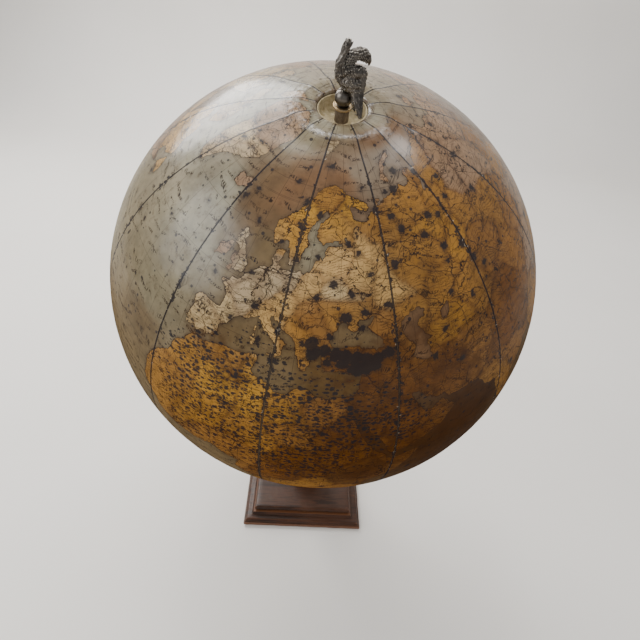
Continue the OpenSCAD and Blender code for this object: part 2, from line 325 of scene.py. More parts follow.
def effect(name, inputs, outputs):
    """An empty node group with named sockets. Its inputs come with their usual values."""
    group = bpy.data.node_groups.new(name, "ShaderNodeTree")
    for key, value in inputs.items():
        kind = "NodeSocketVector" if value is None else (
            "NodeSocketColor" if isinstance(value, tuple) else "NodeSocketFloat")
        socket = group.interface.new_socket(name=key, in_out="INPUT", socket_type=kind)
        if value is not None:
            socket.default_value = value
    for key, kind in outputs.items():
        group.interface.new_socket(name=key, in_out="OUTPUT", socket_type=kind)
    net = Net(group)
    given = net.add("NodeGroupInput").outputs
    result = net.add("NodeGroupOutput").inputs
    return group, net, given, result


# %% [markdown]
# ## Effects that several finishes share
# Grime gathers in soft patches and fine specks. Wear lightens the edges of metal and wood, and
# dirt stays in the corners, which the shader reads from how much the surface curves. On the bronze
# the pale edges are partly wear and partly a painted highlight. Wood has long pores, growth rings
# and a slow change of tone along the grain.

# %% Grime
grime, net, given, result = effect(
    "grime", {"Vector": None, "Size": 0.02, "Amount": 0.5}, {"Mask": "NodeSocketFloat"})
scale = net.over(1.0, given["Size"])
patches = net.noise(given["Vector"], scale, 5.0, 0.6, 0.4)
specks = net.noise(given["Vector"], net.times(scale, 9.0), 3.0, 0.7)
both = net.plus(net.times(patches, 0.7), net.times(specks, 0.3))
net.wire(net.times(net.step(both, 0.4, 0.72), given["Amount"]), result["Mask"])

# %% Wear on edges, dirt in corners
wear, net, given, result = effect(
    "wear_and_dirt", {"Vector": None, "Size": 0.004, "Reach": 0.05},
    {"Wear": "NodeSocketFloat", "Dirt": "NodeSocketFloat"})
curve = net.add("ShaderNodeNewGeometry").outputs["Pointiness"]
broken = net.noise(given["Vector"], net.over(1.0, given["Size"]), 4.0, 0.65)
shifted = net.plus(curve, net.times(net.minus(broken, 0.5), 0.06))
above = net.plus(0.5, given["Reach"])
below = net.minus(0.5, given["Reach"])
net.wire(net.step(shifted, 0.51, above), result["Wear"])
net.wire(net.fade(shifted, below, 0.49), result["Dirt"])

# %% Wood grain
grain, net, given, result = effect(
    "wood_grain", {"Vector": None, "Light": (0.2, 0.1, 0.05, 1.0), "Dark": (0.08, 0.04, 0.02, 1.0),
                   "Figure": 60.0},
    {"Color": "NodeSocketColor", "Height": "NodeSocketFloat"})
long_way = net.place(given["Vector"], scale=(0.06, 1.0, 1.0))
rings = net.noise(long_way, given["Figure"], 4.0, 0.6, 1.2)
bands = net.math("SINE", net.times(rings, 30.0))
pores = net.noise(net.place(given["Vector"], scale=(0.035, 1.0, 1.0)), 2600.0, 2.0, 0.6)
fleck = net.step(pores, 0.56, 0.68)
tone = net.plus(net.times(rings, 0.65), net.times(bands, 0.08))
colour = net.mix(net.step(tone, 0.15, 0.62), given["Dark"], given["Light"])
colour = net.mix(net.times(fleck, 0.55), colour, given["Dark"])
net.wire(colour, result["Color"])
net.wire(net.minus(net.times(rings, 0.35), fleck), result["Height"])
print("effects", [g.name for g in bpy.data.node_groups])

# %% [markdown]
# ## Metals, wood, plaster and cloth
# These finishes are plain ones, each with the marks of its making: the turner's rings and pores in
# walnut, fine scratches in brass, brushed steel, the open surface of plaster and the nap of baize.

# %% Walnut
def walnut_finish(name, turn):
    material, net, shader, spot = finish_of(name, Coat_Weight=0.12, Coat_Roughness=0.25,
                                            Coat_IOR=1.45, Specular_IOR_Level=0.3)
    along = net.place(spot, rotation=turn)
    wood = net.use(grain, Vector=along, Figure=95.0, Light=paint(84, 50, 30), Dark=paint(40, 23, 14))
    dirt = net.use(wear, Vector=spot, Size=0.006, Reach=0.07)
    dust = net.use(grime, "Mask", Vector=spot, Size=0.03, Amount=0.22)
    colour = net.mix(net.times(dirt["Dirt"], 0.75), wood["Color"], paint(16, 9, 7))
    colour = net.mix(net.times(dirt["Wear"], 0.4), colour, paint(140, 92, 60))
    colour = net.mix(dust, colour, paint(74, 54, 40))
    rough = net.step(net.noise(spot, 240.0), 0.3, 0.75, 0.34, 0.55)
    wire_up(net, shader, colour, rough, wood["Height"], 0.35, 0.00012)
    return material


walnut_flat = walnut_finish("walnut_plinth", (0.0, 0.0, 0.0))
walnut_turned = walnut_finish("walnut_column", (0.0, math.radians(90), 0.0))


# %% Metals
def metal_finish(name, light, dark, rough, tarnish, brushed=(1.0, 1.0, 1.0), edge_wear_and_sheen=0.35,
                 edge=None):
    material, net, shader, spot = finish_of(name, Metallic=1.0)
    old = net.use(grime, "Mask", Vector=spot, Size=0.012, Amount=tarnish)
    marks = net.use(wear, Vector=spot, Size=0.002, Reach=0.06)
    colour = net.mix(old, light, dark)
    colour = net.mix(net.times(marks["Dirt"], 0.85), colour, dark)
    colour = net.mix(net.times(marks["Wear"], edge_wear_and_sheen), colour, edge or light)
    lines = net.noise(net.place(spot, scale=brushed), 1800.0, 3.0, 0.6)
    streaks = net.step(lines, 0.3, 0.7, rough - 0.07, rough + 0.07)
    shine = net.plus(net.times(old, 0.25), streaks)
    wire_up(net, shader, colour, shine, lines, 0.12, 0.00006)
    return material


brass = metal_finish("old_brass", paint(194, 170, 132), paint(104, 84, 60), 0.4, 0.7)
steel = metal_finish("axis_steel", paint(176, 174, 170), paint(82, 76, 70), 0.28, 0.5, (1.0, 1.0, 0.03))
iron = metal_finish("cast_iron", paint(62, 60, 60), paint(58, 38, 26), 0.6, 0.9)
# The bronze's pale edge colour is partly wear on the high points and partly a painted highlight on the
# feather edges.
bronze = metal_finish("patinated_bronze", paint(110, 104, 97), paint(32, 28, 26), 0.33, 1.0, edge_wear_and_sheen=0.95,
                      edge=paint(178, 172, 160))


# %% Plain fibrous finishes
def fibre_finish(name, light, dark, scale, stretch, depth, rough=0.85):
    material, net, shader, spot = finish_of(name)
    nap = net.noise(net.place(spot, scale=stretch), scale, 5.0, 0.7, 0.3)
    old = net.use(grime, "Mask", Vector=spot, Size=0.018, Amount=0.6)
    colour = net.mix(net.step(nap, 0.3, 0.72), dark, light)
    colour = net.mix(old, colour, dark)
    wire_up(net, shader, colour, net.step(nap, 0.2, 0.8, rough - 0.1, rough), nap, depth, 0.0003)
    return material


plaster = fibre_finish("cream_plaster", paint(206, 192, 158), paint(150, 134, 98), 420.0, (1, 1, 1), 0.5)
pasteboard = fibre_finish("pasteboard", paint(150, 128, 92), paint(92, 72, 46), 900.0, (1, 1, 0.2), 0.6)
raw_wood = fibre_finish("raw_wood", paint(172, 134, 88), paint(120, 84, 50), 700.0, (1, 1, 0.05), 0.5)
tube_wood = fibre_finish("tube_wood", paint(140, 124, 106), paint(78, 66, 54), 900.0, (1, 1, 0.1), 0.5, 0.55)
baize = fibre_finish("green_baize", paint(52, 84, 58), paint(26, 48, 32), 2400.0, (1, 1, 1), 1.0, 0.98)
print("finishes", len(bpy.data.materials))

# %% [markdown]
# ## The map: land, seas and inland waters
# Each coast is a chain of places on the globe, as latitude and longitude in degrees, chosen
# from common knowledge of the Earth. Every point of a gore then learns how far it is from the
# nearest coast and on which side, and the shader draws the coast from that distance, so the line
# stays sharp at any size. The first chain is Europe, Asia and Africa in one turn.

# %% Coasts of the old world
OLD_WORLD = """36 -5.6 36.8 -6.4 37.2 -7.4 37 -8.9 38.7 -9.5 41.2 -8.7 43.2 -9.2 43.7 -7.8 43.4 -4
43.4 -1.8 44.6 -1.2 46 -1.1 47.3 -2.5 48 -4.6 48.7 -4.2 48.6 -2 49.7 -1.8 49.4 0 50.2 1.5 51 2 51.5
3.6 52.5 4.6 53.3 5.5 53.6 7.2 53.8 8.6 54.5 8.8 55.6 8.2 57 8.4 57.7 10.5 56.5 10.4 55.5 9.8 54.8
10 54.3 11 54.2 12.3 54.5 13.4 53.9 14.3 54.6 16.8 54.4 18.6 54.5 19.9 55.6 21.1 57 21.4 57.6 22.4
57 23.8 58.2 24.4 59.2 23.6 59.5 25.5 59.5 28 59.9 30.2 60.4 28.4 60.2 25 59.9 23 60.8 21.4 62 21.3
63.2 21.7 64.2 23.8 65.2 25.3 65.8 24.2 65.5 22.3 64.3 21.4 63.2 18.9 61.8 17.4 60.7 17.2 59.8 19
58.9 17.8 58 16.8 56.3 16.3 55.6 14.3 55.4 13 56.3 12.6 57.7 11.8 59 11 59.3 10.5 58.2 8.2 58.1 7 59
5.6 61 5 62.2 5.3 63.5 8.5 64.9 11.2 66.5 13 67.9 14.9 68.9 16.5 69.7 18.6 70.5 21.5 71.1 25.8 70.7
29.5 69.8 31.2 69.3 33.5 68.6 37.2 67.7 40.5 66.7 41.3 66.2 39 66.6 34.8 67.1 32.6 65.2 34.6 64.3
34.9 64 37.8 64.7 40.3 65.4 39.8 66 41.5 66.4 43.8 67.9 44 68.6 43.4 68.3 46.2 67.8 46.9 67 45 66.9
46.9 67.9 48.9 68.4 53.2 68.9 55 68.4 57.5 68.9 59.2 69.7 60.8 69 63.5 69.2 65.5 70.5 67.1 71.8 66.8
72.9 69.2 72.7 71.8 71 72.6 68.6 73.3 66.6 71.5 66.4 72.3 67.9 74.6 70 73.9 72 75.3 71.2 77.6 72.2
79.5 73.4 80.7 74.5 86.5 75.6 92 76.2 98 77.7 104.2 76.6 111.5 75.4 113.6 73.7 112 73.2 118.5 73.6
124 72 128.5 70.9 131 71.6 137.5 72.6 141 72.3 149.5 71 152.5 70.9 159 69.6 161.5 69.6 168 70 172
69.9 176 68.5 180 66.9 187.5 65.9 190 64.8 186.5 65.4 181 64 178.5 62.3 179.2 61.5 173.5 60 170.2
60.2 166.2 59.5 163.3 57.8 162.3 56.1 163.2 54.8 162 53 159.8 51 156.8 52.8 155.8 56 155.6 57.8
156.9 60.5 160.5 62.4 164.5 61.8 161 60.5 155.5 59.3 151.5 59.2 143.5 56.8 138.8 54.3 137.5 53.8
141.2 51.5 140.6 48.8 140.3 46.2 138 43.2 134.5 42.6 131 41 129.7 39.3 127.5 37.5 129.2 35.3 129.2
34.5 126.5 37 126.3 38.7 125 39.7 124.3 38.8 121.3 40.8 121.8 40 119.5 38.9 117.7 37.4 119 37.6
122.2 36 120.2 34.6 119.4 31.8 121.8 30.2 121 28 121.4 25.5 119.4 23 116.5 22.2 114 21.3 110.5 20.4
110 21.5 108.5 20 106.2 18 106.4 15.9 108.3 12.5 109.3 10.5 107 8.7 104.9 10.3 104.3 12.5 101.3 13.4
100.4 11.5 99.6 9.2 99.3 6.8 101.5 4.2 103.4 1.4 104.2 2.8 101.3 6 100.3 9.5 98.3 13.5 98.4 16.4
97.4 15.8 95.2 17 94.4 20 93 22.2 91.6 21.7 89 21.5 87 19.7 85.6 17 82.4 15.7 80.4 13 80.3 10.3 79.8
8.2 77.6 10.5 75.9 14 74.4 18 72.9 21 72.6 20.8 71 22.3 69 23.6 68.2 25 66.8 25.3 62 25.7 57.8 27
56.8 26.8 54.3 28.2 51.3 30.1 49.8 30 48.2 27.8 48.8 26.2 50.2 24.6 51.3 24.2 53.5 25.8 56 23.6 58.5
22.5 59.8 20.3 57.8 18 56 16.9 53.6 15.2 50.8 13.3 46.5 12.7 44 14.8 42.8 18 41.4 21.3 39.1 24.8
37.2 28 34.8 29.5 35 27.8 34.3 29.9 32.5 27.5 33.8 24 35.6 21 37.2 18.2 38.2 15.5 39.6 12.8 42.9
11.5 43.1 10.4 45 11.8 51.2 8 50 4 47.5 0 42.8 -4.5 39.4 -10.5 40.5 -15.5 40.6 -19.8 34.9 -24.5 35.4
-26 32.8 -30.5 30.6 -34 26 -34.7 20 -33 18 -28.5 16.4 -22 14.3 -17 11.8 -12 13.6 -6 12.3 -1 9 4 9.6
4.4 6 6.3 3.5 5 -2 4.5 -7.7 7.5 -12.5 10.5 -14.8 14.7 -17.5 20.8 -17 26 -14.5 28.5 -11.2 31.5 -9.7
33.6 -7.6 35.8 -5.9 35.2 -3 35.8 -0.8 36.6 2.9 36.9 7.5 37.3 9.8 37 11 35.5 11 34 10.1 33.2 11.4
32.9 13.2 32.3 15.3 30.9 17.3 30.3 19.2 31.6 20 32.8 21.8 32.6 23.2 31.6 25.2 31.1 27.9 31.5 30.5
31.3 32.3 31.3 34.3 33 35.1 35.8 35.8 36.7 36.1 36.2 33.5 36.1 32.4 36.8 30.6 36.3 29.3 36.9 27.6
38.4 26.4 39.5 26.2 40.4 27.5 40.7 29.2 41 28.6 40.9 27.4 40.2 26.2 40.7 25.9 40.9 24.2 40.1 24.3
40.6 22.8 39.2 23 38 24 37.4 23.2 36.5 23 36.8 21.8 38.3 21.2 39.6 20.1 41.5 19.5 42.5 18.4 43.7
15.9 45.1 14.6 44.9 13.8 45.7 13.6 45.3 12.3 44 12.6 43.5 13.6 42 14.8 41.8 16.1 41 17 40.1 18.5
40.5 17.1 39.5 16.9 38.9 17.1 38 15.7 39.5 15.9 40.6 14.4 41.3 12.8 42.4 11.2 43.6 10.3 44.3 8.9
43.8 7.6 43.2 6.2 43.4 4.6 42.5 3.2 41.3 2.2 39.9 0 38.8 0.2 37.6 -0.8 36.7 -2.4 36.7 -4.4"""

# %% Coasts of the new world
NEW_WORLD = """60 -64.5 53 -56 50.2 -60 49.3 -64.5 47 -65 46 -60 43.8 -66 44 -69 42 -70.2 40.6 -74
37 -76 35.2 -75.6 32 -81 27 -80 25.2 -80.6 28 -82.7 30 -84 30.2 -88 29 -90.5 29.6 -94.5 26 -97.3 22
-97.8 18.7 -95 18.5 -92 21.3 -90 21.3 -87 16 -88.7 15.8 -84 11 -83.7 9 -80 9.3 -77 11 -74.8 12 -71.8
10.5 -68 10.6 -62 8 -60 5 -52 1 -50 -2.5 -44 -5 -35.5 -8 -34.9 -13 -38.5 -18 -39.5 -23 -42 -25.5 -48
-30 -50.2 -34.8 -54.5 -34.5 -58.3 -38.5 -58 -41 -63 -47 -66 -52 -69 -54.8 -66 -55 -70 -50 -75 -42
-73.5 -33 -71.6 -20 -70.2 -14 -76.2 -6 -81 -2 -80.8 3 -78 7.5 -78 8.7 -79.5 7.3 -81 10 -85.7 13.5
-89 16 -95 16.8 -99.8 20.4 -105.5 23.2 -106.5 28 -111 31.3 -113.5 31.5 -114.8 28 -112.8 24.3 -110.5
23 -110 27 -114 32.5 -117 34.4 -120.5 38 -123 43 -124.3 48.3 -124.7 50.5 -127 54.5 -130.5 58 -136 60
-140 60.8 -147 59.3 -152 57 -157 54.8 -163.5 57.5 -158.5 58.7 -162 60 -166 63 -164.5 64.5 -161.5
65.6 -168 66.4 -162 68.3 -166.5 71.3 -156.6 70 -145 69 -137 70 -128 69.5 -123 68 -115 68 -108 68.5
-102 67.8 -97 71.5 -94.5 69 -90 67.5 -87 69.5 -82 66.5 -86 64 -88 61 -94 58.8 -94.5 57 -91 55.3 -84
52.8 -81 51.4 -80 54.5 -79.5 58.6 -78.3 62.4 -77.8 61.3 -70 58.8 -68.5"""

# %% Islands
ISLANDS = """50.1 -5.5 50.7 -1.5 51.1 1.3 52.8 1.7 53.5 0.2 55 -1.4 56.1 -2.7 57.6 -1.9 57.7 -4 58.6
-3.1 58.5 -5 56.8 -6 55.4 -5.6 54.8 -4.5 54 -3 53.3 -4.3 52.1 -4.8 51.4 -3.5 / 51.6 -9.8 52.2 -6.5
53.5 -6.1 54.6 -5.6 55.2 -7.3 54.3 -8.6 54 -10 52.8 -9.6 / 63.9 -22.6 63.4 -19 64.4 -15 65.2 -13.7
66.4 -16 65.7 -19.5 66.3 -22.6 65 -22.6 / 76.7 16.5 78.2 13 79.8 11.5 80.2 18 80 25 78.3 21 77.4 18
/ 80.2 50 81 52 81.3 60 80.3 58 / 70.7 54.5 71.8 51.8 73.5 54 75.5 57.5 76.9 68 76 66 74.5 58.8 73
56 71.2 57.2 / 75 137 76 140 75.3 150 73.5 143 / 37.9 12.6 38.2 15.4 36.8 15 / 38.9 8.5 40.9 8.3
41.2 9.3 39.2 9.6 / 41.5 9 42.9 9.3 42 9.5 / 35.3 23.6 35.5 25 35.1 26.3 34.9 24.7 / 34.7 32.4 35.6
34.4 34.8 33.6 / 46 142 49 142 52 141.8 54.3 142.8 52 143.5 49 143 46.2 143.5 / 41.5 140.1 43.3
140.4 45.4 141.8 43.3 145.5 42 143.2 42.3 141 / 34 131 35.5 133 36.9 136.8 38.5 139.5 41.3 140.5
41.2 141.5 38.3 141.4 35.5 140.7 34.7 138 33.6 135.8 34.3 133 / 31.2 130.5 33.8 130.8 33 132 / 22
120.8 25 121.5 23.5 120.2 / 18.3 109.5 20 110.7 19.5 108.8 / 18.5 121 16 120 14 120.7 13.9 123.8 17
122.3 / 9.5 125.5 6 125.5 7 122.2 9 123.5 / 7 117 4.5 118 1 118.8 -3.5 116 -3.3 111 1 109 3 112 /
5.5 95.3 2 99 -3 102 -5.8 105.5 -3 106 0 103.5 3.5 99 / -6.8 105.3 -6.2 107 -7.2 113 -8.6 114.5 -7.8
109 / 1.5 120 0.5 124 -1 121 -4.5 122.5 -5.5 119.6 -1 119.5 / -0.8 132 -3 138 -6.5 147.5 -10.4 150.5
-8 144 -8.5 139 -4.5 134 / 9.8 80.1 7 81.8 6 80.5 8 79.8 / -12 49.3 -16 50 -25 47 -25 44 -20 44.3
-16 45 / -22 113.8 -20 119 -17 122.3 -14 127 -12 131 -12 136.8 -15 135.8 -17.5 140 -10.8 142.5 -16
145.5 -20 148.5 -25 153.1 -32 152.5 -37.6 150 -38.5 145.5 -36 139.5 -34.8 138 -32 133.5 -33.8 124
-35 118 -33.5 115.2 -28 114.2 / -40.8 145 -41 148 -43.5 147 / -34.5 173 -37.6 178.4 -41.4 175.2
-39.3 173.8 / -40.6 172.7 -42 174 -46.5 169 -46 166.6 -43 170 / 62 -66 65 -62 67.5 -62 70 -68 72.5
-77 73.6 -84 73.7 -89 71 -88 70 -80 66.5 -73 64.5 -77.5 63.5 -72 / 59.9 -44 61.5 -49 66 -53.5 69.5
-54 72 -55 76 -66 78.2 -73 81.5 -62 83.3 -35 81.5 -14 77 -18.5 72.5 -22 70.3 -23 68.3 -28 65.6 -38
62 -42.5 / 76.5 -81 78 -87 81 -92 83 -72 80 -72 78 -76 / 69 -105 72 -105 73 -114 71 -118 69 -115 /
46.7 -53.5 47.6 -59 51.5 -56 49.5 -54 / 22 -84.5 23.1 -81 20.5 -74.5 20 -77 / 18.5 -74 19.8 -73 18.7
-68.5 18 -71"""

# %% Inland seas and lakes
INLAND = """41.2 29.1 42.5 27.6 43.6 28.6 45 29.7 46.6 31 46.2 32.5 46 33.5 45.3 32.6 44.5 33.6 45
35.4 45.3 36.4 45.4 35.2 46.1 34.8 46.6 35.4 46.8 37.5 47.2 39 46 38.2 45.3 37 44.2 38.9 43 41 41.6
41.6 41 39.5 41.3 36.5 42 35 41.3 31.5 / 47.1 51.5 46.6 49.2 45.6 47.4 44 47.3 42.5 47.8 41.2 49
40.3 50.2 39.2 49.2 38 48.9 37.3 50 36.7 52.5 37 53.9 39 53.7 40.1 53 41 54.4 42 52.6 44 51 45.2
51.3 45.3 53 46.6 53.1 / 43.6 58.4 45.3 58.6 46.6 60.8 46 61.6 44.2 61 43.4 59.6 / 59.9 31.4 61.2 30
61.4 31 60.6 32.8 / 61 35.3 62.6 34.8 62 36 / 51.5 104 53.5 108.8 55.6 109.6 53 107 51.7 105.5 /
46.6 -84.7 48.8 -88.5 47 -91.5 46.6 -88 / 41.8 -87.5 45.8 -86.5 46 -84.8 43 -86.3 / 43.5 -79 44.2
-76.3 43.3 -77"""

# %% Rings of places as points on the ball
def on_ball(lat, lon):
    lat, lon = np.radians(lat), np.radians(lon)
    return np.stack([np.cos(lat) * np.cos(lon), np.cos(lat) * np.sin(lon), np.sin(lat)], -1) * GLOBE_R


def rings_of(text):
    return [np.array(ring.split(), float).reshape(-1, 2) for ring in text.split("/")]


land_rings = rings_of(OLD_WORLD) + rings_of(NEW_WORLD) + rings_of(ISLANDS)
water_rings = rings_of(INLAND)


def inside(rings, lat, lon):
    """Even-odd count of the ring edges that a line to the north crosses, in longitude and latitude."""
    hits = np.zeros(lat.shape, bool)
    for ring in rings:
        a, b = ring, np.roll(ring, -1, 0)
        for shift in (0.0, 360.0):
            x = lon + shift
            if x.max() < ring[:, 1].min() or x.min() > ring[:, 1].max():
                continue
            for (lat0, lon0), (lat1, lon1) in zip(a, b):
                if lon0 == lon1:
                    continue
                span = (x >= min(lon0, lon1)) & (x < max(lon0, lon1))
                if span.any():
                    crossing = lat0 + (lat1 - lat0) * (x - lon0) / (lon1 - lon0)
                    hits ^= span & (lat < crossing)
    return hits


def distance_to(rings, points, reach=45.0):
    """Distance in millimetres from each point to the nearest edge of the rings, up to reach."""
    low, high = points.min(0) - reach, points.max(0) + reach
    best = np.full(len(points), reach)
    for ring in rings:
        a = on_ball(ring[:, 0], ring[:, 1])
        b = np.roll(a, -1, 0)
        near = (np.maximum(a, b) > low).all(1) & (np.minimum(a, b) < high).all(1)
        for start, end in zip(a[near], b[near]):
            along = end - start
            share = np.clip((points - start) @ along / (along @ along), 0, 1)
            gap = np.linalg.norm(points - start - share[:, None] * along, axis=1)
            best = np.minimum(best, gap)
    return best


print("coasts", sum(len(r) for r in land_rings), "places on land,", len(water_rings), "inland waters")

# %% [markdown]
# ## Colours of the countries and the seas
# Old maps were tinted by hand, country by country, and the varnish has since turned amber. Each
# tint has a few seed places. A point of land takes the tint of its nearest seed, which also gives
# the border between two tints, and a point at sea takes a soft mix of the sea tints around it.

# %% Tints
TINTS = {
    "straw": (160, 116, 44), "ochre": (142, 99, 39), "gold": (168, 122, 40), "tan": (180, 144, 88),
    "sand": (180, 156, 114), "rust": (130, 88, 38), "umber": (100, 60, 16), "dust": (166, 146, 114),
    "mauve": (140, 112, 86), "olive": (96, 72, 36), "peat": (74, 43, 12), "amber": (148, 104, 36),
    "sea": (102, 84, 56), "fog": (142, 136, 116), "rose": (112, 82, 54), "slate": (96, 74, 48),
    "deep": (62, 36, 10), "moss": (122, 112, 88), "haze": (120, 106, 88),
}
LAND_SEEDS = """straw 61 14 gold 65 17 straw 63 27 gold 68 35 ochre 69 22 tan 56 37 tan 60 42 sand
53 30 tan 57 27 ochre 64 47 tan 52 45 ochre 66 58 dust 51 10 dust 53 14 tan 52 20 dust 48 3 sand 45
0 dust 52 -1 dust 57 -4 mauve 53 -8 tan 47 15 rust 46 25 ochre 42 22 tan 43 12 sand 40 -4 ochre 49
31 rust 44 43 umber 40 33 umber 38 40 umber 35 37 ochre 48 48 ochre 50 60 ochre 46 68 amber 42 62
ochre 55 56 amber 60 66 ochre 64 72 amber 56 72 rust 52 82 ochre 60 84 mauve 66 92 amber 68 80 ochre
55 96 mauve 62 108 rust 50 104 rust 44 92 umber 38 84 umber 33 56 rust 36 64 umber 30 48 umber 27 44
umber 22 48 umber 24 38 umber 16 46 ochre 34 3 gold 28 3 gold 30 12 amber 27 20 amber 31 -5 ochre 24
-8 amber 20 2 ochre 17 12 rust 20 20 rust 26 28 umber 22 31 umber 15 32 umber 12 22 rust 8 8 umber 4
20 peat 6 38 ochre -4 24 rust -12 30 ochre -18 18 amber -28 22 mauve 68 130 rust 60 128 ochre 52 122
mauve 46 118 mauve 36 104 ochre 28 100 amber 32 114 rust 24 80 ochre 20 76 umber 30 80 amber 14 102
mauve 66 160 ochre 38 138 mauve 64 -18 dust 78 16 mauve 74 56 sand 72 -40 dust 66 -30 mauve 76 -40
dust 70 -90 sand 60 -110 tan 52 -72 mauve 45 -75 rust 40 -98 umber 50 -110 rust 60 -130 mauve 64
-150 umber 36 -116 rust 24 -102 umber 16 -90 rust 4 -72 umber -8 -62 mauve -8 -42 rust -18 -60 umber
-34 -64 rust -46 -70 rust -25 134 mauve -22 120 umber -30 146 rust -5 140 umber 1 114 rust -2 102
rust -43 172 umber -19 46"""
SEA_SEEDS = """rose 66 2 rose 70 4 slate 63 3 slate 64 -8 rose 72 14 slate 69 -8 rose 72 30 haze 74
45 haze 77 60 rose 80 90 fog 82 -20 moss 78 -10 moss 87 40 fog 84 100 rose 80 60 fog 60 -20 fog 52
-20 moss 44 -20 moss 36 -22 sea 28 -22 sea 57 4 moss 60 19 sea 38 6 sea 36 16 olive 34 26 olive 35
31 sea 43 34 rose 42 51 rose 45 60 deep 24 37 deep 14 60 deep 4 62 deep 20 66 olive 10 88 sea 50 160
olive 40 150 slate 20 135 moss 30 -60 sea 10 -40 fog 65 -60 fog 72 -70 sea -10 0 sea -30 -20 olive
-20 70 slate -40 100 olive -30 -110 slate 0 -150 olive 30 -160 slate 58 -85 sea -60 0 olive -60 120
deep -25 -140 olive 20 -125 slate -10 -110 deep -45 -170 rose 45 -140 sea 15 170 deep -50 -60 rose
-12 90 olive -48 40"""


def seeds_of(text):
    words = text.split()
    tints = np.array([paint(*TINTS[name]) for name in words[::3]])
    return tints, on_ball(np.array(words[1::3], float), np.array(words[2::3], float))


land_tints, land_places = seeds_of(LAND_SEEDS)
sea_tints, sea_places = seeds_of(SEA_SEEDS)


def ripple(points, length, seed, layers=4):
    """Smooth noise between about -1 and 1: waves in chance directions, ever shorter and weaker."""
    chance = np.random.default_rng(seed)
    total = np.zeros(len(points))
    for layer in range(layers):
        for _ in range(5):
            way = chance.normal(size=3)
            way *= 2 * math.pi / (length / 1.9**layer) / np.linalg.norm(way)
            total += np.sin(points @ way + chance.uniform(0, 6.28)) * 0.36 / 1.7**layer
    return total


def warped(points, length, amount, seed):
    return points + amount * np.stack([ripple(points, length, seed + k) for k in range(3)], 1)


# %% [markdown]
# ## Age: spots, stains and worn places
# Damp has left blue-black mould spots, a large dark smudge over Asia Minor and brown stains, and
# the varnish over North Africa has broken into thousands of short dark specks. The big marks have
# places of their own. The specks are drawn by the shader, as many as each place asks for.

# %% Places of the marks
SPOTS = """42.2 23.8 3 40.2 24.3 3.2 40.8 27 2.4 40.2 29.6 2.6 40 32.2 2.8 39.6 34.8 3 39.2 37.4 3.2
39.2 40 3.2 40 42.6 2.4 38.6 31.4 2.6 37.6 34.2 3.2 37.4 36.8 3.4 37.8 39.4 2.8 36.6 35.4 2 38.6
27.6 1.6 56 67 1.7 59.3 61.3 1.6 62.3 66.8 1.5 64.5 50.9 1.6 63.3 -12.8 1.1 65.4 -10.1 1 66.7 13.1
1.3 64.9 20.4 1.7 62.7 13.4 1.1 58.8 8.7 1.2 56.5 15.3 1.3 46.1 7.7 1.6 53.2 28.1 1.6 47.2 31.6 1.9
48 37 1.7 48.9 43.8 1.6 69.3 56.9 1.6 69.2 51.5 1.2 56 47.7 1.9 61.7 53.6 1.6 61.6 70.8 1.3 63.4
79.3 1.3 54.3 74 1.6 50.6 75.4 1.5 48.3 78.7 1.3 60.2 32 1.3 58.6 36.2 1.1 54.6 39.6 1.3 51.4 33.6
1.2 57.4 22.4 1 50.6 23.4 1.1 45.2 36.2 1.1 43.6 28 1.3 41.6 21.4 1.2 66.2 44 1.1 70.4 40 1.2 72.6
62 1.5 70.6 74 1.2 67.2 84 1.4 60 95 1.3 53 66 1 47.4 63.4 1.2 44.6 70 1.3 41.2 58.6 1.5 36.6 54.8
1.6 33 62 1.7 51.6 3.6 .9 60.6 -2 1 70.4 6 1.1 74.6 22 1.1 48.6 -7 1 42.4 2.4 1.2 40.4 10.4 1.3 57.6
-24 .8 50 -32 .8 70 -42 .9 43 -40 .8 55 130 1.4 40 112 1.6 26 104 1.4 20 80 1.5 -6 30 1.6 -24 24 1.3
10 110 1.1 -22 130 1.5 40 -100 1.6 52 -96 1.1 30 -90 1.4 6 -66 1.5 -12 -50 1.6 -34 -66 1.2 62 -120
1.2 0 160 1 -30 -100 .9 20 -140 1 -44 60 1 -30 90 .9 58 140 1.5 50 135 1.2 44 128 1.6 34 118 1.3 28
112 1.1 18 98 1.5 12 78 1.3 2 112 1.4 -4 122 1 -8 140 1.3 6 80 1.1 -2 90 1.2 -14 100 1 -20 118 1.4
-28 140 1.5 -32 120 1.2 -38 144 1 -42 172 1.1 10 130 1 20 150 1.2 34 150 1.3 46 160 1.1 56 170 1.2
64 174 1.3 60 -150 1.3 54 -128 1.2 48 -118 1.5 42 -110 1.2 36 -104 1.6 30 -112 1.1 24 -100 1.3 18
-94 1.2 44 -84 1.6 50 -74 1.3 38 -80 1.2 56 -66 1 46 -56 1.2 34 -50 1 22 -60 1.3 12 -36 1.1 2 -30
1.2 -8 -70 1.4 -18 -44 1.3 -24 -58 1.5 -42 -70 1.1 -50 -72 1 -20 -20 1.1 -36 -30 1.2 -48 10 1 -30 40
1.3 -22 46 1.2 -8 46 1 2 50 1.3 12 -170 1.2 -10 -160 1.1 -26 -150 1.3 -40 -130 1 4 -120 1.2 24 -125
1.1 40 -140 1.2 -12 -100 1.3 -44 -100 1 70 -70 1.3 74 -100 1.2 70 -130 1.1 76 150 1.3 72 120 1.2 66
104 1.5"""
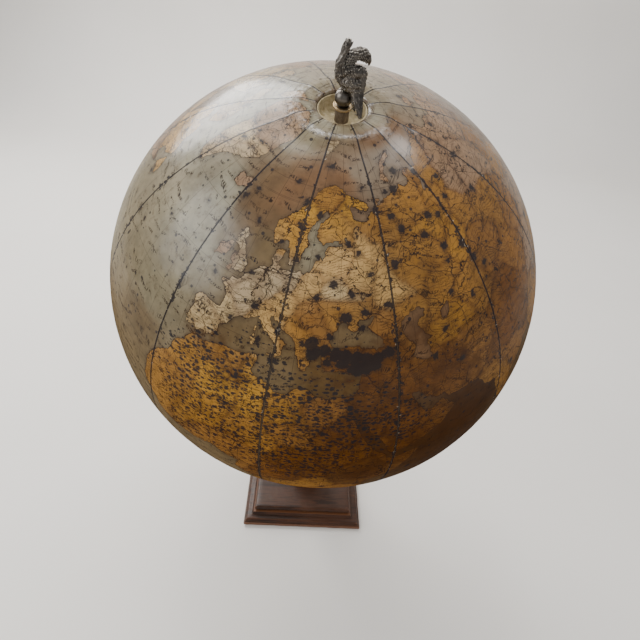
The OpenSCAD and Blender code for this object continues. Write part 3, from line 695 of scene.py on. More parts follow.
STAINS = """36 -2 13 .8 31 5 10 .75 33 9 7 .7 37 31 16 .75 40 44 12 .6 27 37 20 .6 22 33 18 .55 15
45 22 .8 35 58 16 .8 30 66 18 .7 42 52 8 .6 44 62 7 .4 48 40 5 .4 55 62 9 .35 62 44 8 .3 70 30 9 .35
72 80 10 .4 52 92 12 .45 46 78 10 .5 57 -12 14 .2 80 60 7 .3 80 10 6 .3 78 140 7 .3 80 -60 6 .2 24
20 12 .45 18 8 14 .4 60 150 16 .4 30 110 18 .5 5 25 20 .5 -20 25 18 .5 10 -60 18 .5 45 -100 18 .4
-30 130 16 .5 -50 0 20 .4 10 85 20 .7 -6 110 18 .6 20 135 16 .5 40 170 20 .45 -20 75 18 .6 -45 95 16
.5 0 -140 22 .5 30 -130 16 .5 25 -75 18 .55 55 -70 14 .45 -30 -60 16 .6 -10 -20 18 .45 -45 -110 18
.5 -25 -170 18 .5 60 -110 12 .5 15 60 16 .7"""
SPECKLED = """30 0 30 1 27 13 30 1 25 25 30 1 22 35 28 1 20 -2 28 1 16 12 28 1 10 26 24 .9 24 46 22
.8 12 0 24 .9 36 60 14 .5 34 70 12 .5 40 34 9 .45 44 12 9 .25 50 28 14 .2 56 60 16 .22 44 66 12 .3
70 52 12 .25 80 60 10 .25 48 92 14 .3 30 104 16 .4 22 78 16 .4 5 20 18 .4 -20 26 16 .4 -24 134 16 .4
38 -98 18 .4 0 -64 18 .45 -34 -64 14 .4 60 -108 14 .2 12 104 18 .5 50 130 16 .35 20 -100 16 .55 48
-80 16 .4 -10 130 18 .4 0 90 16 .35 -14 -46 16 .5 -30 24 16 .5 64 160 14 .3 30 -120 14 .35 -40 150
14 .4 10 170 18 .25 -20 -120 20 .25"""


def marks_of(text, columns):
    return np.array(text.split(), float).reshape(-1, columns)


spots, stains = marks_of(SPOTS, 3), marks_of(STAINS, 4)
speckled = marks_of(SPECKLED, 4)


def cover(points, patches):
    """How strongly soft round patches cover each point, from 0 to 1."""
    open_share = np.ones(len(points))
    for lat, lon, radius, strength in patches:
        gap = np.linalg.norm(points - on_ball(lat, lon), axis=1)
        open_share *= 1 - strength * np.exp(-((gap / radius) ** 2))
    return 1 - open_share


print(len(spots), "spots", len(stains), "stains", len(speckled), "speckled places")

# %% [markdown]
# ## What each point of a gore knows
# The distance to the coast, to the nearest border, to the nearest spot and to the gore's edge are
# plain numbers in millimetres, and the tints of land and sea are colours. All are stored on the
# points of the mesh, so the map turns with the ball.

# %% Map attributes
def write_map(piece, lat, lon, from_edge):
    points = on_ball(lat, lon)
    bent = warped(points, 26.0, 0.75, 11)
    lat_bent = np.degrees(np.arcsin(np.clip(bent[:, 2] / np.linalg.norm(bent, axis=1), -1, 1)))
    lon_bent = lon + (np.degrees(np.arctan2(bent[:, 1], bent[:, 0])) - lon + 180) % 360 - 180
    on_land = inside(land_rings, lat_bent, lon_bent) & ~inside(water_rings, lat_bent, lon_bent)
    coast = distance_to(land_rings + water_rings, bent) * np.where(on_land, 1, -1)
    wander = warped(points, 40.0, 3.2, 31)
    gaps = np.linalg.norm(wander[:, None] - land_places[None], axis=2)
    order = np.argsort(gaps, axis=1)
    first, second = (np.take_along_axis(gaps, order[:, k:k + 1], 1)[:, 0] for k in (0, 1))
    pull = 1 / (np.linalg.norm(wander[:, None] - sea_places[None], axis=2) + 4) ** 4
    sea = (pull @ sea_tints) / pull.sum(1, keepdims=True)
    pull = 1 / (gaps + 2) ** 3
    land = 0.5 * land_tints[order[:, 0]] + 0.5 * (pull @ land_tints) / pull.sum(1, keepdims=True)
    ragged = warped(points, 9.0, 0.5, 51)
    to_spot = np.full(len(points), 9.0)
    for place_lat, place_lon, radius in spots:
        gap = np.linalg.norm(ragged - on_ball(place_lat, place_lon), axis=1) - radius
        to_spot = np.minimum(to_spot, gap)
    numbers = {"coast": coast, "border": (second - first) / 2, "spot": to_spot, "from_edge": from_edge,
               "stain": cover(warped(points, 30.0, 3.0, 71), stains), "speckle": cover(points, speckled)}
    for name, values in numbers.items():
        layer = piece.data.attributes.new(name, "FLOAT", "POINT")
        layer.data.foreach_set("value", values.astype(np.float32))
    for name, values in {"land_tint": land, "sea_tint": sea}.items():
        layer = piece.data.attributes.new(name, "FLOAT_COLOR", "POINT")
        layer.data.foreach_set("color", values.astype(np.float32).ravel())


# %% [markdown]
# ## The printed and varnished paper
# From below upwards the shader lays the tints, the engraved lines (coasts, borders, rivers, the net
# of parallels and meridians, small rings for towns, and rows of tiny strokes where a map has its
# names, with no letters in them), then the dirt with some painted glints and painted shade, and
# last the glossy amber varnish.

# %% Rows of strokes that stand for names
strokes, net, given, result = effect(
    "name_strokes", {"Across": 0.0, "Up": 0.0, "Pitch": 3.0, "Tall": 0.4, "Wide": 0.5, "Share": 0.4,
                     "Seed": 0.0}, {"Mask": "NodeSocketFloat"})
row = net.over(given["Up"], given["Pitch"])
line = net.math("FLOOR", row)
in_row = net.unsigned(net.minus(net.math("FRACT", row), 0.5))
shift = net.times(net.math("SINE", net.times_plus(line, 12.99, given["Seed"])), 40.0)
across = net.plus(given["Across"], shift)
word = net.add("ShaderNodeCombineXYZ", {0: net.times(across, 0.12), 1: net.times(line, 3.7),
                                        2: given["Seed"]}).outputs[0]
words = net.noise(word, 1.0, 1.0)
letter = net.add("ShaderNodeCombineXYZ", {0: net.over(across, given["Wide"]),
                                          1: net.times(row, 4.6), 2: given["Seed"]}).outputs[0]
strokes_in_word = net.noise(letter, 1.0, 1.5, 0.7)
in_row = net.step(in_row, given["Tall"], net.times(given["Tall"], 0.6))
inked = net.times(net.step(strokes_in_word, 0.47, 0.53), in_row)
open_row = net.rest_of(given["Share"])
words = net.step(words, net.times_plus(open_row, 0.36, 0.32), net.times_plus(open_row, 0.36, 0.36))
net.wire(net.times(inked, words), result["Mask"])

# %% Map paper: places and tints
map_paper, net, shader, spot = finish_of("map_paper", Coat_Weight=1.0, Coat_Roughness=0.24,
                                         Coat_IOR=1.5, Specular_IOR_Level=0.0)
upright = net.place(spot, "TEXTURE", CENTRE, (TILT, 0.0, 0.0))
ball_mm = net.place(upright, scale=(1000.0, 1000.0, 1000.0))
x, y, z = net.split(ball_mm)
out = net.math("SQRT", net.plus(net.times(x, x), net.times(y, y)))
lon = net.plus(net.math("DEGREES", net.math("ARCTAN2", y, x)), -REST_TURN)
lat = net.math("DEGREES", net.math("ARCTAN2", z, out))
fine = net.noise(ball_mm, 0.55, 5.0, 0.62)
coast = net.plus(net.attribute("coast"), net.times(net.minus(fine, 0.5), 2.6))
land = net.step(coast, -0.08, 0.08)
mottle = net.noise(ball_mm, 0.035, 5.0, 0.6, 0.4)
cloud = net.noise(ball_mm, 0.16, 4.0, 0.6)
land_colour = net.attribute("land_tint", "Color")
sea_colour = net.attribute("sea_tint", "Color")
rim = net.fade(net.attribute("border"), 0.2, 2.6)
land_colour = net.mix(net.times(rim, 0.35), land_colour, paint(112, 66, 34), "MULTIPLY")
colour = net.mix(land, sea_colour, land_colour)

# %% Map paper: engraved lines
def near_multiple(value, step_size, across_scale, half_width):
    """1 on the lines at multiples of a step in degrees, with a width in millimetres."""
    part = net.minus(net.math("FRACT", net.times_plus(value, 1 / step_size, 0.5)), 0.5)
    gap = net.times(net.unsigned(part), across_scale)
    return net.fade(gap, half_width * 0.5, half_width * 1.4)


DEGREE = math.radians(1) * GLOBE_R
parallels = near_multiple(lat, 10.0, 10 * DEGREE, 0.12)
meridians = near_multiple(lon, 10.0, net.times(out, math.radians(10)), 0.12)


def circle_at(latitude, offset, half_width):
    gap = net.unsigned(net.times(net.minus(lat, latitude), DEGREE))
    gap = net.unsigned(net.minus(gap, offset))
    return net.fade(gap, half_width * 0.5, half_width * 1.4)


def shaken(vector, scale, detail, reach):
    """The place moved about by a noise, so that what is drawn there wavers."""
    shake = net.add("ShaderNodeTexNoise", {"Vector": ball_mm, "Scale": scale, "Detail": detail})
    shake = net.add("ShaderNodeVectorMath", {0: shake.outputs["Color"], 3: reach}, operation="SCALE")
    moved = net.add("ShaderNodeVectorMath", {0: vector, 1: shake.outputs[0]}, operation="ADD")
    return moved.outputs[0]


wobble = net.times(net.minus(fine, 0.5), 2.4)
border_gap = net.unsigned(net.plus(net.attribute("border"), wobble))
provinces = net.cells(shaken(ball_mm, 0.16, 6.0, 11.0), 0.06, "DISTANCE_TO_EDGE")
bent_place = shaken(ball_mm, 0.06, 5.0, 16.0)
rivers = net.cells(bent_place, 0.045, "DISTANCE_TO_EDGE")
streams = net.cells(bent_place, 0.11, "DISTANCE_TO_EDGE")
towns = net.unsigned(net.minus(net.cells(ball_mm, 0.12), 0.045))
shore = net.fade(net.unsigned(coast), 0.14, 0.36)


def line_below(value, width):
    return net.fade(value, width * 0.5, width * 1.3)


across = net.times(lon, net.times(out, math.radians(1)))
up = net.times_plus(lat, DEGREE, net.times(net.noise(ball_mm, 0.035, 3.0, 0.55), 26.0))
names_small = net.use(strokes, "Mask", Across=across, Up=up, Pitch=1.45, Tall=0.27, Wide=0.3,
                      Share=0.6, Seed=1.3)
names_large = net.use(strokes, "Mask", Across=across, Up=up, Pitch=6.3, Tall=0.17, Wide=0.7,
                      Share=0.5, Seed=7.1)
ink_on_land = net.most(line_below(border_gap, 0.24), line_below(provinces, 0.010),
                       net.times(line_below(rivers, 0.009), 0.95),
                       net.times(line_below(streams, 0.012), 0.5),
                       line_below(towns, 0.02), net.times(names_small, 0.8))
ink = net.most(net.times(ink_on_land, land), net.times(names_large, 0.95), shore)
for line in (parallels, meridians, circle_at(66.5, 0.3, 0.1), circle_at(23.5, 0.3, 0.1),
             circle_at(-23.5, 0.3, 0.1), circle_at(0.0, 0.9, 0.14), circle_at(-66.5, 0.3, 0.1)):
    ink = net.most(ink, net.times(line, 0.6))
worn = net.step(net.noise(ball_mm, 0.09, 4.0, 0.6), 0.3, 0.6, 0.62, 1.0)
colour = net.mix(net.times(ink, worn), colour, paint(34, 21, 13))
by_shore = net.times(net.step(coast, -2.2, -0.1, 0.0, 0.35), net.rest_of(land))
colour = net.mix(by_shore, colour, paint(58, 44, 30))

# %% Map paper: dirt, painted glints and painted shade
tone = net.step(net.plus(net.times(mottle, 0.6), net.times(cloud, 0.4)), 0.3, 0.7, 0.7, 1.16)
toned = net.add("ShaderNodeCombineColor", {0: tone, 1: tone, 2: tone}).outputs[0]
colour = net.mix(1.0, colour, toned, "MULTIPLY")
freckle = net.step(net.noise(ball_mm, 0.26, 5.0, 0.72), 0.52, 0.68, 0.0, 0.42)
colour = net.mix(freckle, colour, paint(62, 42, 26))
stain = net.times(net.attribute("stain"), net.step(net.noise(ball_mm, 0.12, 5.0, 0.65), 0.3, 0.62))
colour = net.mix(stain, colour, paint(64, 36, 9))
specked = net.attribute("speckle")
long_specks = shaken(net.place(ball_mm, scale=(0.55, 0.55, 1.0)), 0.5, 3.0, 1.1)


def speck_layer(size, chance_low, width):
    gap = net.cells(long_specks, size)
    chance = net.split(net.cells(long_specks, size, output="Color"))[0]
    wanted = net.minus(net.times(specked, 1.1), chance)
    radius = net.times(net.step(wanted, chance_low, 0.7), width)
    return net.fade(net.minus(gap, radius), -0.07, 0.05)


specks = net.most(speck_layer(0.68, -0.2, 0.42), speck_layer(0.42, -0.05, 0.38))
specks = net.times(specks, net.step(specked, 0.02, 0.1))
sparse_gap = net.cells(ball_mm, 0.2)
sparse_chance = net.split(net.cells(ball_mm, 0.2, output="Color"))[1]
sparse_size = net.times(net.step(sparse_chance, 0.4, 1.0), 0.2)
sparse = net.fade(net.minus(sparse_gap, sparse_size), -0.03, 0.02)
torn = net.minus(net.noise(ball_mm, 0.75, 3.0, 0.6), 0.5)
spot_gap = net.plus(net.attribute("spot"), net.times(torn, 3.4))
blots = net.fade(spot_gap, 0.1, 0.7)
edge = net.attribute("from_edge")
seam_noise = net.noise(ball_mm, 0.42, 5.0, 0.62)
gathered = net.step(net.noise(ball_mm, 0.07, 3.0, 0.6), 0.42, 0.62, 0.3, 2.6)
gathered = net.times(gathered, net.step(lat, 58.0, 76.0, 1.0, 0.35))
seam_reach = net.times(gathered, net.step(seam_noise, 0.46, 0.62, 0.1, 1.0))
seam_grime = net.fade(net.minus(edge, seam_reach), -0.25, 0.2)
seam_line = net.fade(edge, 0.24, 0.56)
soil = net.most(blots, specks, seam_grime, seam_line, net.times(sparse, 0.9))
colour = net.mix(net.times(soil, 0.92), colour, paint(30, 26, 29))
# Painted glints: small light cream specks along the seams.
seam_glints = net.step(net.noise(ball_mm, 0.6, 3.0, 0.6, 0.6), 0.66, 0.7)
seam_glints = net.times(seam_glints, net.fade(edge, 0.5, 1.6))
colour = net.mix(net.times(seam_glints, 0.75), colour, paint(196, 184, 164))
halo = net.times(net.fade(spot_gap, 0.2, 2.6), 0.4)
colour = net.mix(halo, colour, paint(44, 32, 24))
# Painted shade: a brown ring on the paper just round the recess rim, broken up by noise.
recess_rim_shade = net.step(net.noise(ball_mm, 0.3, 4.0), 0.3, 0.6, 0.1, 0.6)
recess_rim_shade = net.times(net.step(lat, 83.4, 84.6), recess_rim_shade)
colour = net.mix(recess_rim_shade, colour, paint(74, 50, 30))

# %% Map paper: varnish
peel = net.noise(ball_mm, 0.35, 3.0, 0.5)
along_scratch = net.place(ball_mm, rotation=(0.3, 0.5, 0.2), scale=(6.0, 0.12, 0.3))
scratch = net.noise(along_scratch, 1.0, 3.0, 0.7)
dull = net.step(net.noise(ball_mm, 0.06, 4.0, 0.6), 0.35, 0.7, 0.48, 0.62)
rough = net.plus(dull, net.times(soil, 0.12))
height = net.plus(net.times(peel, 0.8), net.times(scratch, 0.12))
height = net.plus(height, net.times(soil, 0.25))
height = net.plus(height, net.times(seam_noise, 0.1))
wire_up(net, shader, colour, rough, height, 0.25, 0.0002)
patchy = net.step(net.noise(ball_mm, 0.2, 4.0), 0.25, 0.6, 0.75, 1.0)
at_shoulder = net.step(lat, 77.0, 81.0)
crazed = net.step(net.noise(ball_mm, 0.42, 5.0, 0.7), 0.4, 0.58, 0.25, 1.0)
patchy = net.times(patchy, net.most(crazed, net.rest_of(at_shoulder)))
upper_side = net.step(lat, 12.0, 62.0, 0.04, 1.0)
net.wire(net.times(patchy, upper_side), shader.inputs["Coat Weight"])
print("map paper", len(map_paper.node_tree.nodes), "nodes")

# %% [markdown]
# ## One gore, then twelve
# A gore is a grid of small faces laid on the ball between two meridians. At the top it follows the
# swollen paper round the recess and curls over the rim. Its edges lift a little near the pole,
# where paste has let go. The grid is made once and copied, and each copy is laid between its own
# meridians and gets its own part of the map. The gap between two gores is in degrees.

# %% The first gore
COLUMNS, ROWS, LIP_ROWS = 62, 310, 6
GAP = 0.13
HALF_GORE = 15 - GAP / 2
PAPER = 0.28
LIP_R, LIP_CURL = 13.4, 0.9
SOUTH_HOLE_R = 12.1
SWELL, SWELL_R, SWELL_WIDTH = 1.35, 23.5, 6.6

clear_selection()
bpy.ops.mesh.primitive_grid_add(x_subdivisions=COLUMNS, y_subdivisions=ROWS, size=2)
pattern = named("gore_pattern")
flat = np.zeros(len(pattern.data.vertices) * 3)
pattern.data.vertices.foreach_get("co", flat)
side, climb = flat.reshape(-1, 3)[:, 0], flat.reshape(-1, 3)[:, 1]
south = -math.degrees(math.acos(SOUTH_HOLE_R / GLOBE_R))
lip_top_r = LIP_R + LIP_CURL
north = math.degrees(math.acos(lip_top_r / GLOBE_R))
share = (climb + 1) / 2 * ROWS
up_to = ROWS - LIP_ROWS
gore_lat = south + (north - south) * np.clip(share / up_to, 0, 1)
curl = np.clip((share - up_to) / LIP_ROWS, 0, 1) * math.radians(100)


def swell(radius, lat):
    """How far the paper stands out of the true ball round the recess, in millimetres."""
    return np.where(lat > 0, SWELL * np.exp(-(((radius - SWELL_R) / SWELL_WIDTH) ** 2)), 0)


def gore_points(middle):
    lon = middle + side * HALF_GORE
    circle = GLOBE_R * np.cos(np.radians(gore_lat))
    from_edge = (1 - np.abs(side)) * np.radians(HALF_GORE) * circle
    ball_points = on_ball(gore_lat, lon)
    wave = 0.05 * ripple(ball_points, 40.0, 5, 2) + 0.03 * ripple(ball_points, 9.0, 6, 2)
    near_top = np.clip((60 - circle) / 45, 0, 1) * (gore_lat > 0)
    uneven = 0.6 + 0.4 * ripple(ball_points, 12.0, 8, 2)
    lifted = 0.22 * near_top * np.exp(-from_edge / 1.2) * uneven
    radius = GLOBE_R + swell(circle, gore_lat) + (wave + lifted) * (share > 1)
    flat_r, height = circle * radius / GLOBE_R, np.sin(np.radians(gore_lat)) * radius
    centre_z = math.sin(math.radians(north)) * GLOBE_R - LIP_CURL
    over = curl > 0
    flat_r = np.where(over, lip_top_r - LIP_CURL * np.sin(curl), flat_r)
    height = np.where(over, centre_z + LIP_CURL * np.cos(curl) + 0.06 * lifted, height)
    turn = np.radians(lon + REST_TURN)
    return np.stack([flat_r * np.cos(turn), flat_r * np.sin(turn), height], 1), lon, from_edge


gores = []
for number in range(12):
    middle = 30.0 * (number + 1)
    middle -= 360 if middle > 180 else 0
    piece = pattern if number == 0 else pattern.copy()
    if number:
        piece.data = pattern.data.copy()
        bpy.context.scene.collection.objects.link(piece)
    gores.append((piece, middle))

for number, (piece, middle) in enumerate(gores):
    piece.name = piece.data.name = "paper_gore_%02d" % (number + 1)
    places, lon_here, from_edge = gore_points(middle)
    piece.data.vertices.foreach_set("co", (places * MM).ravel())
    write_map(piece, gore_lat, lon_here, from_edge)
    apply(piece, "SOLIDIFY", thickness=PAPER * MM, offset=-1.0, use_quality_normals=True)
    smooth(piece, 50)
    piece.data.transform(ON_AXIS)
    settle(piece, map_paper, "globe", "map_paper", "gore_%02d" % (number + 1))

# %% [markdown]
# ## The recess at the pole
# A cream plaster cup lines the hole, and the brown axis tube stands in it like a small chimney.
# All of these are turned, so each is an outline spun round the axis. The cup's upper edge stays
# under the paper's lip. The tube's rim is worn round.

# %% Cup
cup = turned("recess_cup", outline(
    (3.85, 142.02), (13.2, 142.02), (13.2, 150.9, 0.4), (12.6, 150.9, 0.5), (12.1, 148.0, 3.0),
    (11.6, 145.2, 2.0), (10.6, 143.75, 1.6), (5.6, 143.5, 2.0), (4.3, 144.3, 0.6),
    (3.85, 144.3)), place=ON_AXIS)
settle(cup, plaster, "globe", "plaster", "polar_cup")

# %% Tube
tube = turned("polar_tube", outline(
    (3.02, -139.4), (3.8, -139.4, 0.2), (3.8, 147.2), (3.84, 147.6, 0.2), (3.84, 148.1, 0.2), (3.8, 148.4),
    (3.8, 150.7, 0.5), (3.74, 151.42, 0.3), (3.1, 151.42, 0.2), (3.02, 151.1)), 96, place=ON_AXIS)
settle(tube, tube_wood, "globe", "tube_wood", "axis_tube")

# %% [markdown]
# ## The finial's washer and ball
# The washer is thin brass with a worn round edge and a turned groove. The ball is cast bronze with
# a small neck at its foot. It screws onto the rod, and its spun lip carries the washer.

# %% Washer and ball
WASHER_Z, BALL_Z, BALL_R = 152.07, 157.22, 4.6
washer = turned("brass_washer", outline(
    (3.36, WASHER_Z), (5.05, WASHER_Z, 0.3), (5.2, WASHER_Z + 0.6, 0.3), (5.05, WASHER_Z + 1.2, 0.3),
    (4.7, WASHER_Z + 1.2), (4.62, WASHER_Z + 1.08), (4.54, WASHER_Z + 1.2),
    (3.36, WASHER_Z + 1.2)), 96, place=ON_AXIS)
settle(washer, brass, "finial_washer", "brass", "finial_washer")

section = [(2.05, 151.82), (3.6, 151.84), (3.6, 152.0), (3.3, 152.02), (3.3, 153.3), (3.5, 153.4)]
section += arc_points(0.0, BALL_Z, BALL_R, -53, 90, 26) + [(0.0, 158.4), (2.05, 158.3)]
ball = turned("finial_globe", section, 96, place=ON_AXIS)
settle(ball, bronze, "finial", "bronze", "finial_ball")

# %% [markdown]
# ## The eagle
# A bird only 35 mm tall, cast and chased: it stands on the ball, raises its left wing, lets the
# right wing hang and looks over its shoulder. The body is built from many overlapping balls and
# the feathers from thin leaves, which a remesh then melts into one skin, as a wax model would be
# built up before casting. Places are (forward, left, up) from the centre of the finial's ball.

# %% Balls in a row
EAGLE = Matrix.Rotation(math.radians(105), 4, "Z")
FIRST_BALL = (1.0, -1.0, 13.2)
clear_selection()
bpy.ops.mesh.primitive_ico_sphere_add(subdivisions=2, radius=3.6 * MM,
                                      location=[c * MM for c in FIRST_BALL])
eagle = named("cast_eagle")
bpy.ops.object.transform_apply(location=True, rotation=True, scale=True)
bpy.ops.object.mode_set(mode="EDIT")


def roll_out(*balls):
    """Overlapping balls through (forward, left, up, radius)."""
    for start, end in zip(balls, balls[1:]):
        gap = math.dist(start[:3], end[:3])
        count = max(2, int(gap / (0.4 * min(start[3], end[3])) + 1))
        for k in range(count + 1):
            *place, radius = [a + (b - a) * k / count for a, b in zip(start, end)]
            bpy.ops.mesh.primitive_ico_sphere_add(
                subdivisions=2 if radius > 1 else 1, radius=radius * MM, location=[c * MM for c in place])


# %% Body, neck and head
roll_out((1.2, -0.9, 13.5, 3.8), (-1.2, -1.7, 10.3, 3.5), (-3.0, -2.3, 7.3, 2.6))
roll_out((0.2, 3.0, 13.4, 2.2), (0.4, 0.4, 14.6, 3.2), (-0.6, -3.0, 14.0, 3.2), (-1.4, -6.0, 14.0, 2.7),
         (-1.8, -7.6, 13.8, 2.2))
roll_out((-0.1, 2.4, 10.0, 2.0), (-1.6, -0.8, 9.4, 3.1), (-2.9, -4.2, 9.0, 2.9), (-3.4, -6.6, 9.2, 2.0))
roll_out((0.0, 1.5, 7.0, 1.5), (-2.2, -1.2, 6.4, 2.2), (-4.0, -4.2, 5.8, 2.3), (-4.7, -6.0, 5.6, 1.7))
roll_out((1.4, 0.6, 16.0, 3.1), (2.3, -1.4, 18.4, 3.0), (3.0, -4.0, 20.0, 2.8), (3.1, -6.4, 20.4, 2.7),
         (3.0, -8.6, 19.8, 2.8), (3.0, -10.0, 18.9, 2.5), (2.9, -10.9, 17.8, 2.0))
roll_out((2.9, -11.3, 17.9, 1.6), (2.7, -11.9, 16.8, 1.25), (2.4, -11.9, 15.7, 0.9), (2.2, -11.6, 14.8, 0.5))
roll_out((2.7, -10.6, 17.4, 0.95), (2.5, -11.4, 16.2, 0.5))
for side in (1.3, -1.7):
    roll_out((0.3, side * 0.9, 9.8, 1.9), (0.1, side * 0.9, 7.0, 1.3), (0.2, side, 4.9, 0.8))
    for spread in (-0.8, 0.0, 0.8):
        toe = [(0.4 + 2.4 * t, side * (1 + 0.2 * t) + spread * 2.2 * t) for t in (0.0, 0.5, 1.0)]
        heights = [math.sqrt(max(BALL_R**2 - ahead * ahead - left * left, 1.0)) for ahead, left in toe]
        roll_out(*[(ahead, left, height + 0.2, 0.52 - 0.12 * k)
                   for k, ((ahead, left), height) in enumerate(zip(toe, heights))])
    roll_out((-0.2, side, 4.7, 0.5), (-1.6, side * 1.05, 4.1, 0.35))

# %% The raised wing and the hanging wing
roll_out((0.0, 3.2, 11.0, 2.0), (0.5, 3.9, 14.0, 1.9), (1.2, 3.5, 17.2, 1.9), (2.2, 2.0, 20.4, 1.75),
         (2.9, 0.7, 23.4, 1.75), (3.5, -0.3, 25.2, 1.75))
roll_out((-2.2, -7.4, 12.4, 2.1), (-3.4, -7.2, 9.4, 2.0), (-4.6, -6.3, 5.6, 1.9), (-7.0, -5.9, 2.4, 1.6),
         (-9.4, -5.6, -0.6, 1.35), (-10.9, -5.5, -2.6, 1.0))
roll_out((-4.2, -4.0, 5.6, 1.9), (-6.6, -4.2, 2.6, 1.5), (-8.8, -4.6, 0.0, 1.1))
roll_out((-1.2, -2.4, 6.6, 2.2), (-3.6, -3.4, 4.0, 1.8), (-5.6, -3.6, 1.6, 1.3), (-7.0, -3.8, -0.4, 0.9))
bpy.ops.object.mode_set(mode="OBJECT")
apply(eagle, "REMESH", mode="VOXEL", voxel_size=0.3 * MM, adaptivity=0.0)
apply(eagle, "SMOOTH", factor=0.5, iterations=6)
core = BVHTree.FromObject(eagle, bpy.context.evaluated_depsgraph_get())

# %% One feather, laid many times
clear_selection()
bpy.ops.mesh.primitive_ico_sphere_add(subdivisions=2, radius=MM)
feather = named("feather")
laid = []


def leaf(root, tip, width, thick, facing):
    """A copy of the feather, from root to tip, with its broad side along facing."""
    along = (tip - root).normalized()
    across = along.cross(facing).normalized()
    turn = Matrix((along, across, across.cross(along))).transposed().to_4x4()
    stretch = Matrix.Diagonal(((tip - root).length * 0.56, width / 2, thick / 2, 1.0))
    copy = feather.copy()
    copy.data = feather.data.copy()
    copy.data.transform(Matrix.Translation((root + tip) / 2 * MM) @ turn @ stretch)
    bpy.context.scene.collection.objects.link(copy)
    laid.append(copy)


def region(left, up):
    """Which way the feathers run there, and how long and wide they are."""
    if up > 15.0 and left > 1.9 - 0.36 * max(up - 20.0, 0.0) or up > 23.0:
        return Vector((0.32, -0.5 * (up > 17), 1.0)), 3.4, 1.25
    if left < -3.0 and up > 15.6 or up > 16.6:
        return Vector((0.1, -1.0 if left > -7 else -0.4, 0.5 if left > -4 else -0.3)), 1.3, 1.0
    if up < 6.4 and left < -2.6:
        return Vector((-0.72, 0.06, -1.0)), 4.6, 1.35
    if left < -5.2:
        return Vector((-0.42, 0.12, -1.0)), 2.5, 1.4
    return Vector((-0.3, -0.22, -1.0)), 2.0, 1.3


chance = np.random.default_rng(7)
for row in range(34):
    for place in range(19):
        across_at = 6.6 - 1.12 * (place + 0.5 * (row % 2)) + chance.uniform(-0.24, 0.24)
        up_at = 27.2 - 0.92 * row + chance.uniform(-0.24, 0.24)
        for way in (1.0, -1.0):
            far_off = Vector((-30 * way, across_at, up_at)) * MM
            hit, normal, _, _ = core.ray_cast(far_off, Vector((way, 0, 0)))
            if hit is None or (hit / MM).length < 5.6:
                continue
            _, left, up = hit / MM
            beak_side = left < -10.4 and up < 19.6
            if beak_side or up < 6.4 and left > -2.2:
                continue
            run, length, width = region(left, up)
            run = (run - normal * run.dot(normal)).normalized()
            length *= chance.uniform(0.9, 1.1)
            root = hit / MM - run * length * 0.5 - normal * 0.3
            leaf(root, hit / MM + run * length * 0.5 + normal * 0.42, width, 0.8, normal)
half_eye, brow_root, brow_tip = Vector((0, 0.4, 0)), Vector((0, 1.2, 1.0)), Vector((0, -1.4, 0.5))
for place in (Vector((0.75, -9.9, 20.3)), Vector((5.3, -9.9, 20.3))):
    leaf(place - half_eye, place + half_eye, 0.8, 0.9, Vector((1, 0, 0)))
    leaf(place + brow_root, place + brow_tip, 0.7, 0.9, Vector((1, 0, 0.3)))
clear_selection()
for copy in laid:
    copy.select_set(True)
eagle.select_set(True)
bpy.context.view_layer.objects.active = eagle
bpy.ops.object.join()
bpy.data.objects.remove(feather)

# %% Melt it into one cast skin
MOST_FACES, THINNED_FACES = 190000, 185000
apply(eagle, "REMESH", mode="VOXEL", voxel_size=0.15 * MM, adaptivity=0.0)
apply(eagle, "SMOOTH", factor=0.5, iterations=3)
faces = sum(len(p.vertices) - 2 for p in eagle.data.polygons)
if faces > MOST_FACES:
    apply(eagle, "DECIMATE", ratio=THINNED_FACES / faces)
smooth(eagle, 60)
eagle.data.transform(ON_AXIS @ Matrix.Translation((0, 0, BALL_Z * MM)) @ EAGLE)
print("eagle", len(laid), "feathers,", faces, "triangles before thinning")
settle(eagle, bronze, "finial", "bronze", "eagle")

# %% [markdown]
# ## The moulded plinth
# Two blocks of walnut, each with a moulding on its four sides that meets in mitres at the corners.
# The lower one has an upright fillet and an ogee; the upper one a groove, a bead and a flat top.

# %% Plinth
ogee = [(52.1, 1.5), (67.7, 1.5), (68.0, 1.8), (68.0, 4.9), (67.6, 5.2), (66.5, 5.2)]
ogee += arc_points(63.0, 5.2, 3.5, 0, 88, 10) + arc_points(60.8, 12.2, 3.3, 262, 182, 10)
ogee += [(57.2, 12.2)]
lower = square_moulding("plinth_lower", ogee)
bead = [(54.9, 12.22), (55.0, 12.4), (55.0, 12.9), (54.9, 13.12), (53.55, 13.14), (53.5, 13.4)]
bead += arc_points(53.5, 16.11, 2.59, -80, 80, 14) + [(53.5, 18.75), (53.2, 18.8)]
upper = square_moulding("plinth_upper", bead)


HALF_SIDE = 0.068


def wear_the_mitres(piece, width, cuts):
    """Rounds the long edges at the corners and gives the flat faces enough points to be uneven."""
    apply(piece, "BEVEL", width=width * MM, segments=3, limit_method="ANGLE",
          angle_limit=math.radians(60))
    clear_selection()
    take(piece)
    bpy.ops.object.mode_set(mode="EDIT")
    bpy.ops.mesh.select_all(action="SELECT")
    bpy.ops.mesh.bisect(plane_co=(0, 0, 0), plane_no=(1, 0, 0))
    for cut in range(1, cuts):
        for sign in (-1, 1):
            place = sign * HALF_SIDE * cut / cuts
            for axis in (0, 1):
                bpy.ops.mesh.select_all(action="SELECT")
                normal = [0, 0, 0]
                normal[axis] = 1
                bpy.ops.mesh.bisect(plane_co=[place * n for n in normal], plane_no=normal)
    bpy.ops.object.mode_set(mode="OBJECT")
    count = len(piece.data.vertices)
    places = np.zeros(count * 3)
    piece.data.vertices.foreach_get("co", places)
    places = places.reshape(-1, 3)
    inward = -0.09 * (1 + ripple(places / MM, 18.0, 91, 3)) * MM
    flat_sides = places[:, :2] / np.maximum(np.abs(places[:, :2]).max(1, keepdims=True), 1e-9)
    places[:, :2] += flat_sides * inward[:, None]
    piece.data.vertices.foreach_set("co", places.ravel())
    smooth(piece, 32)


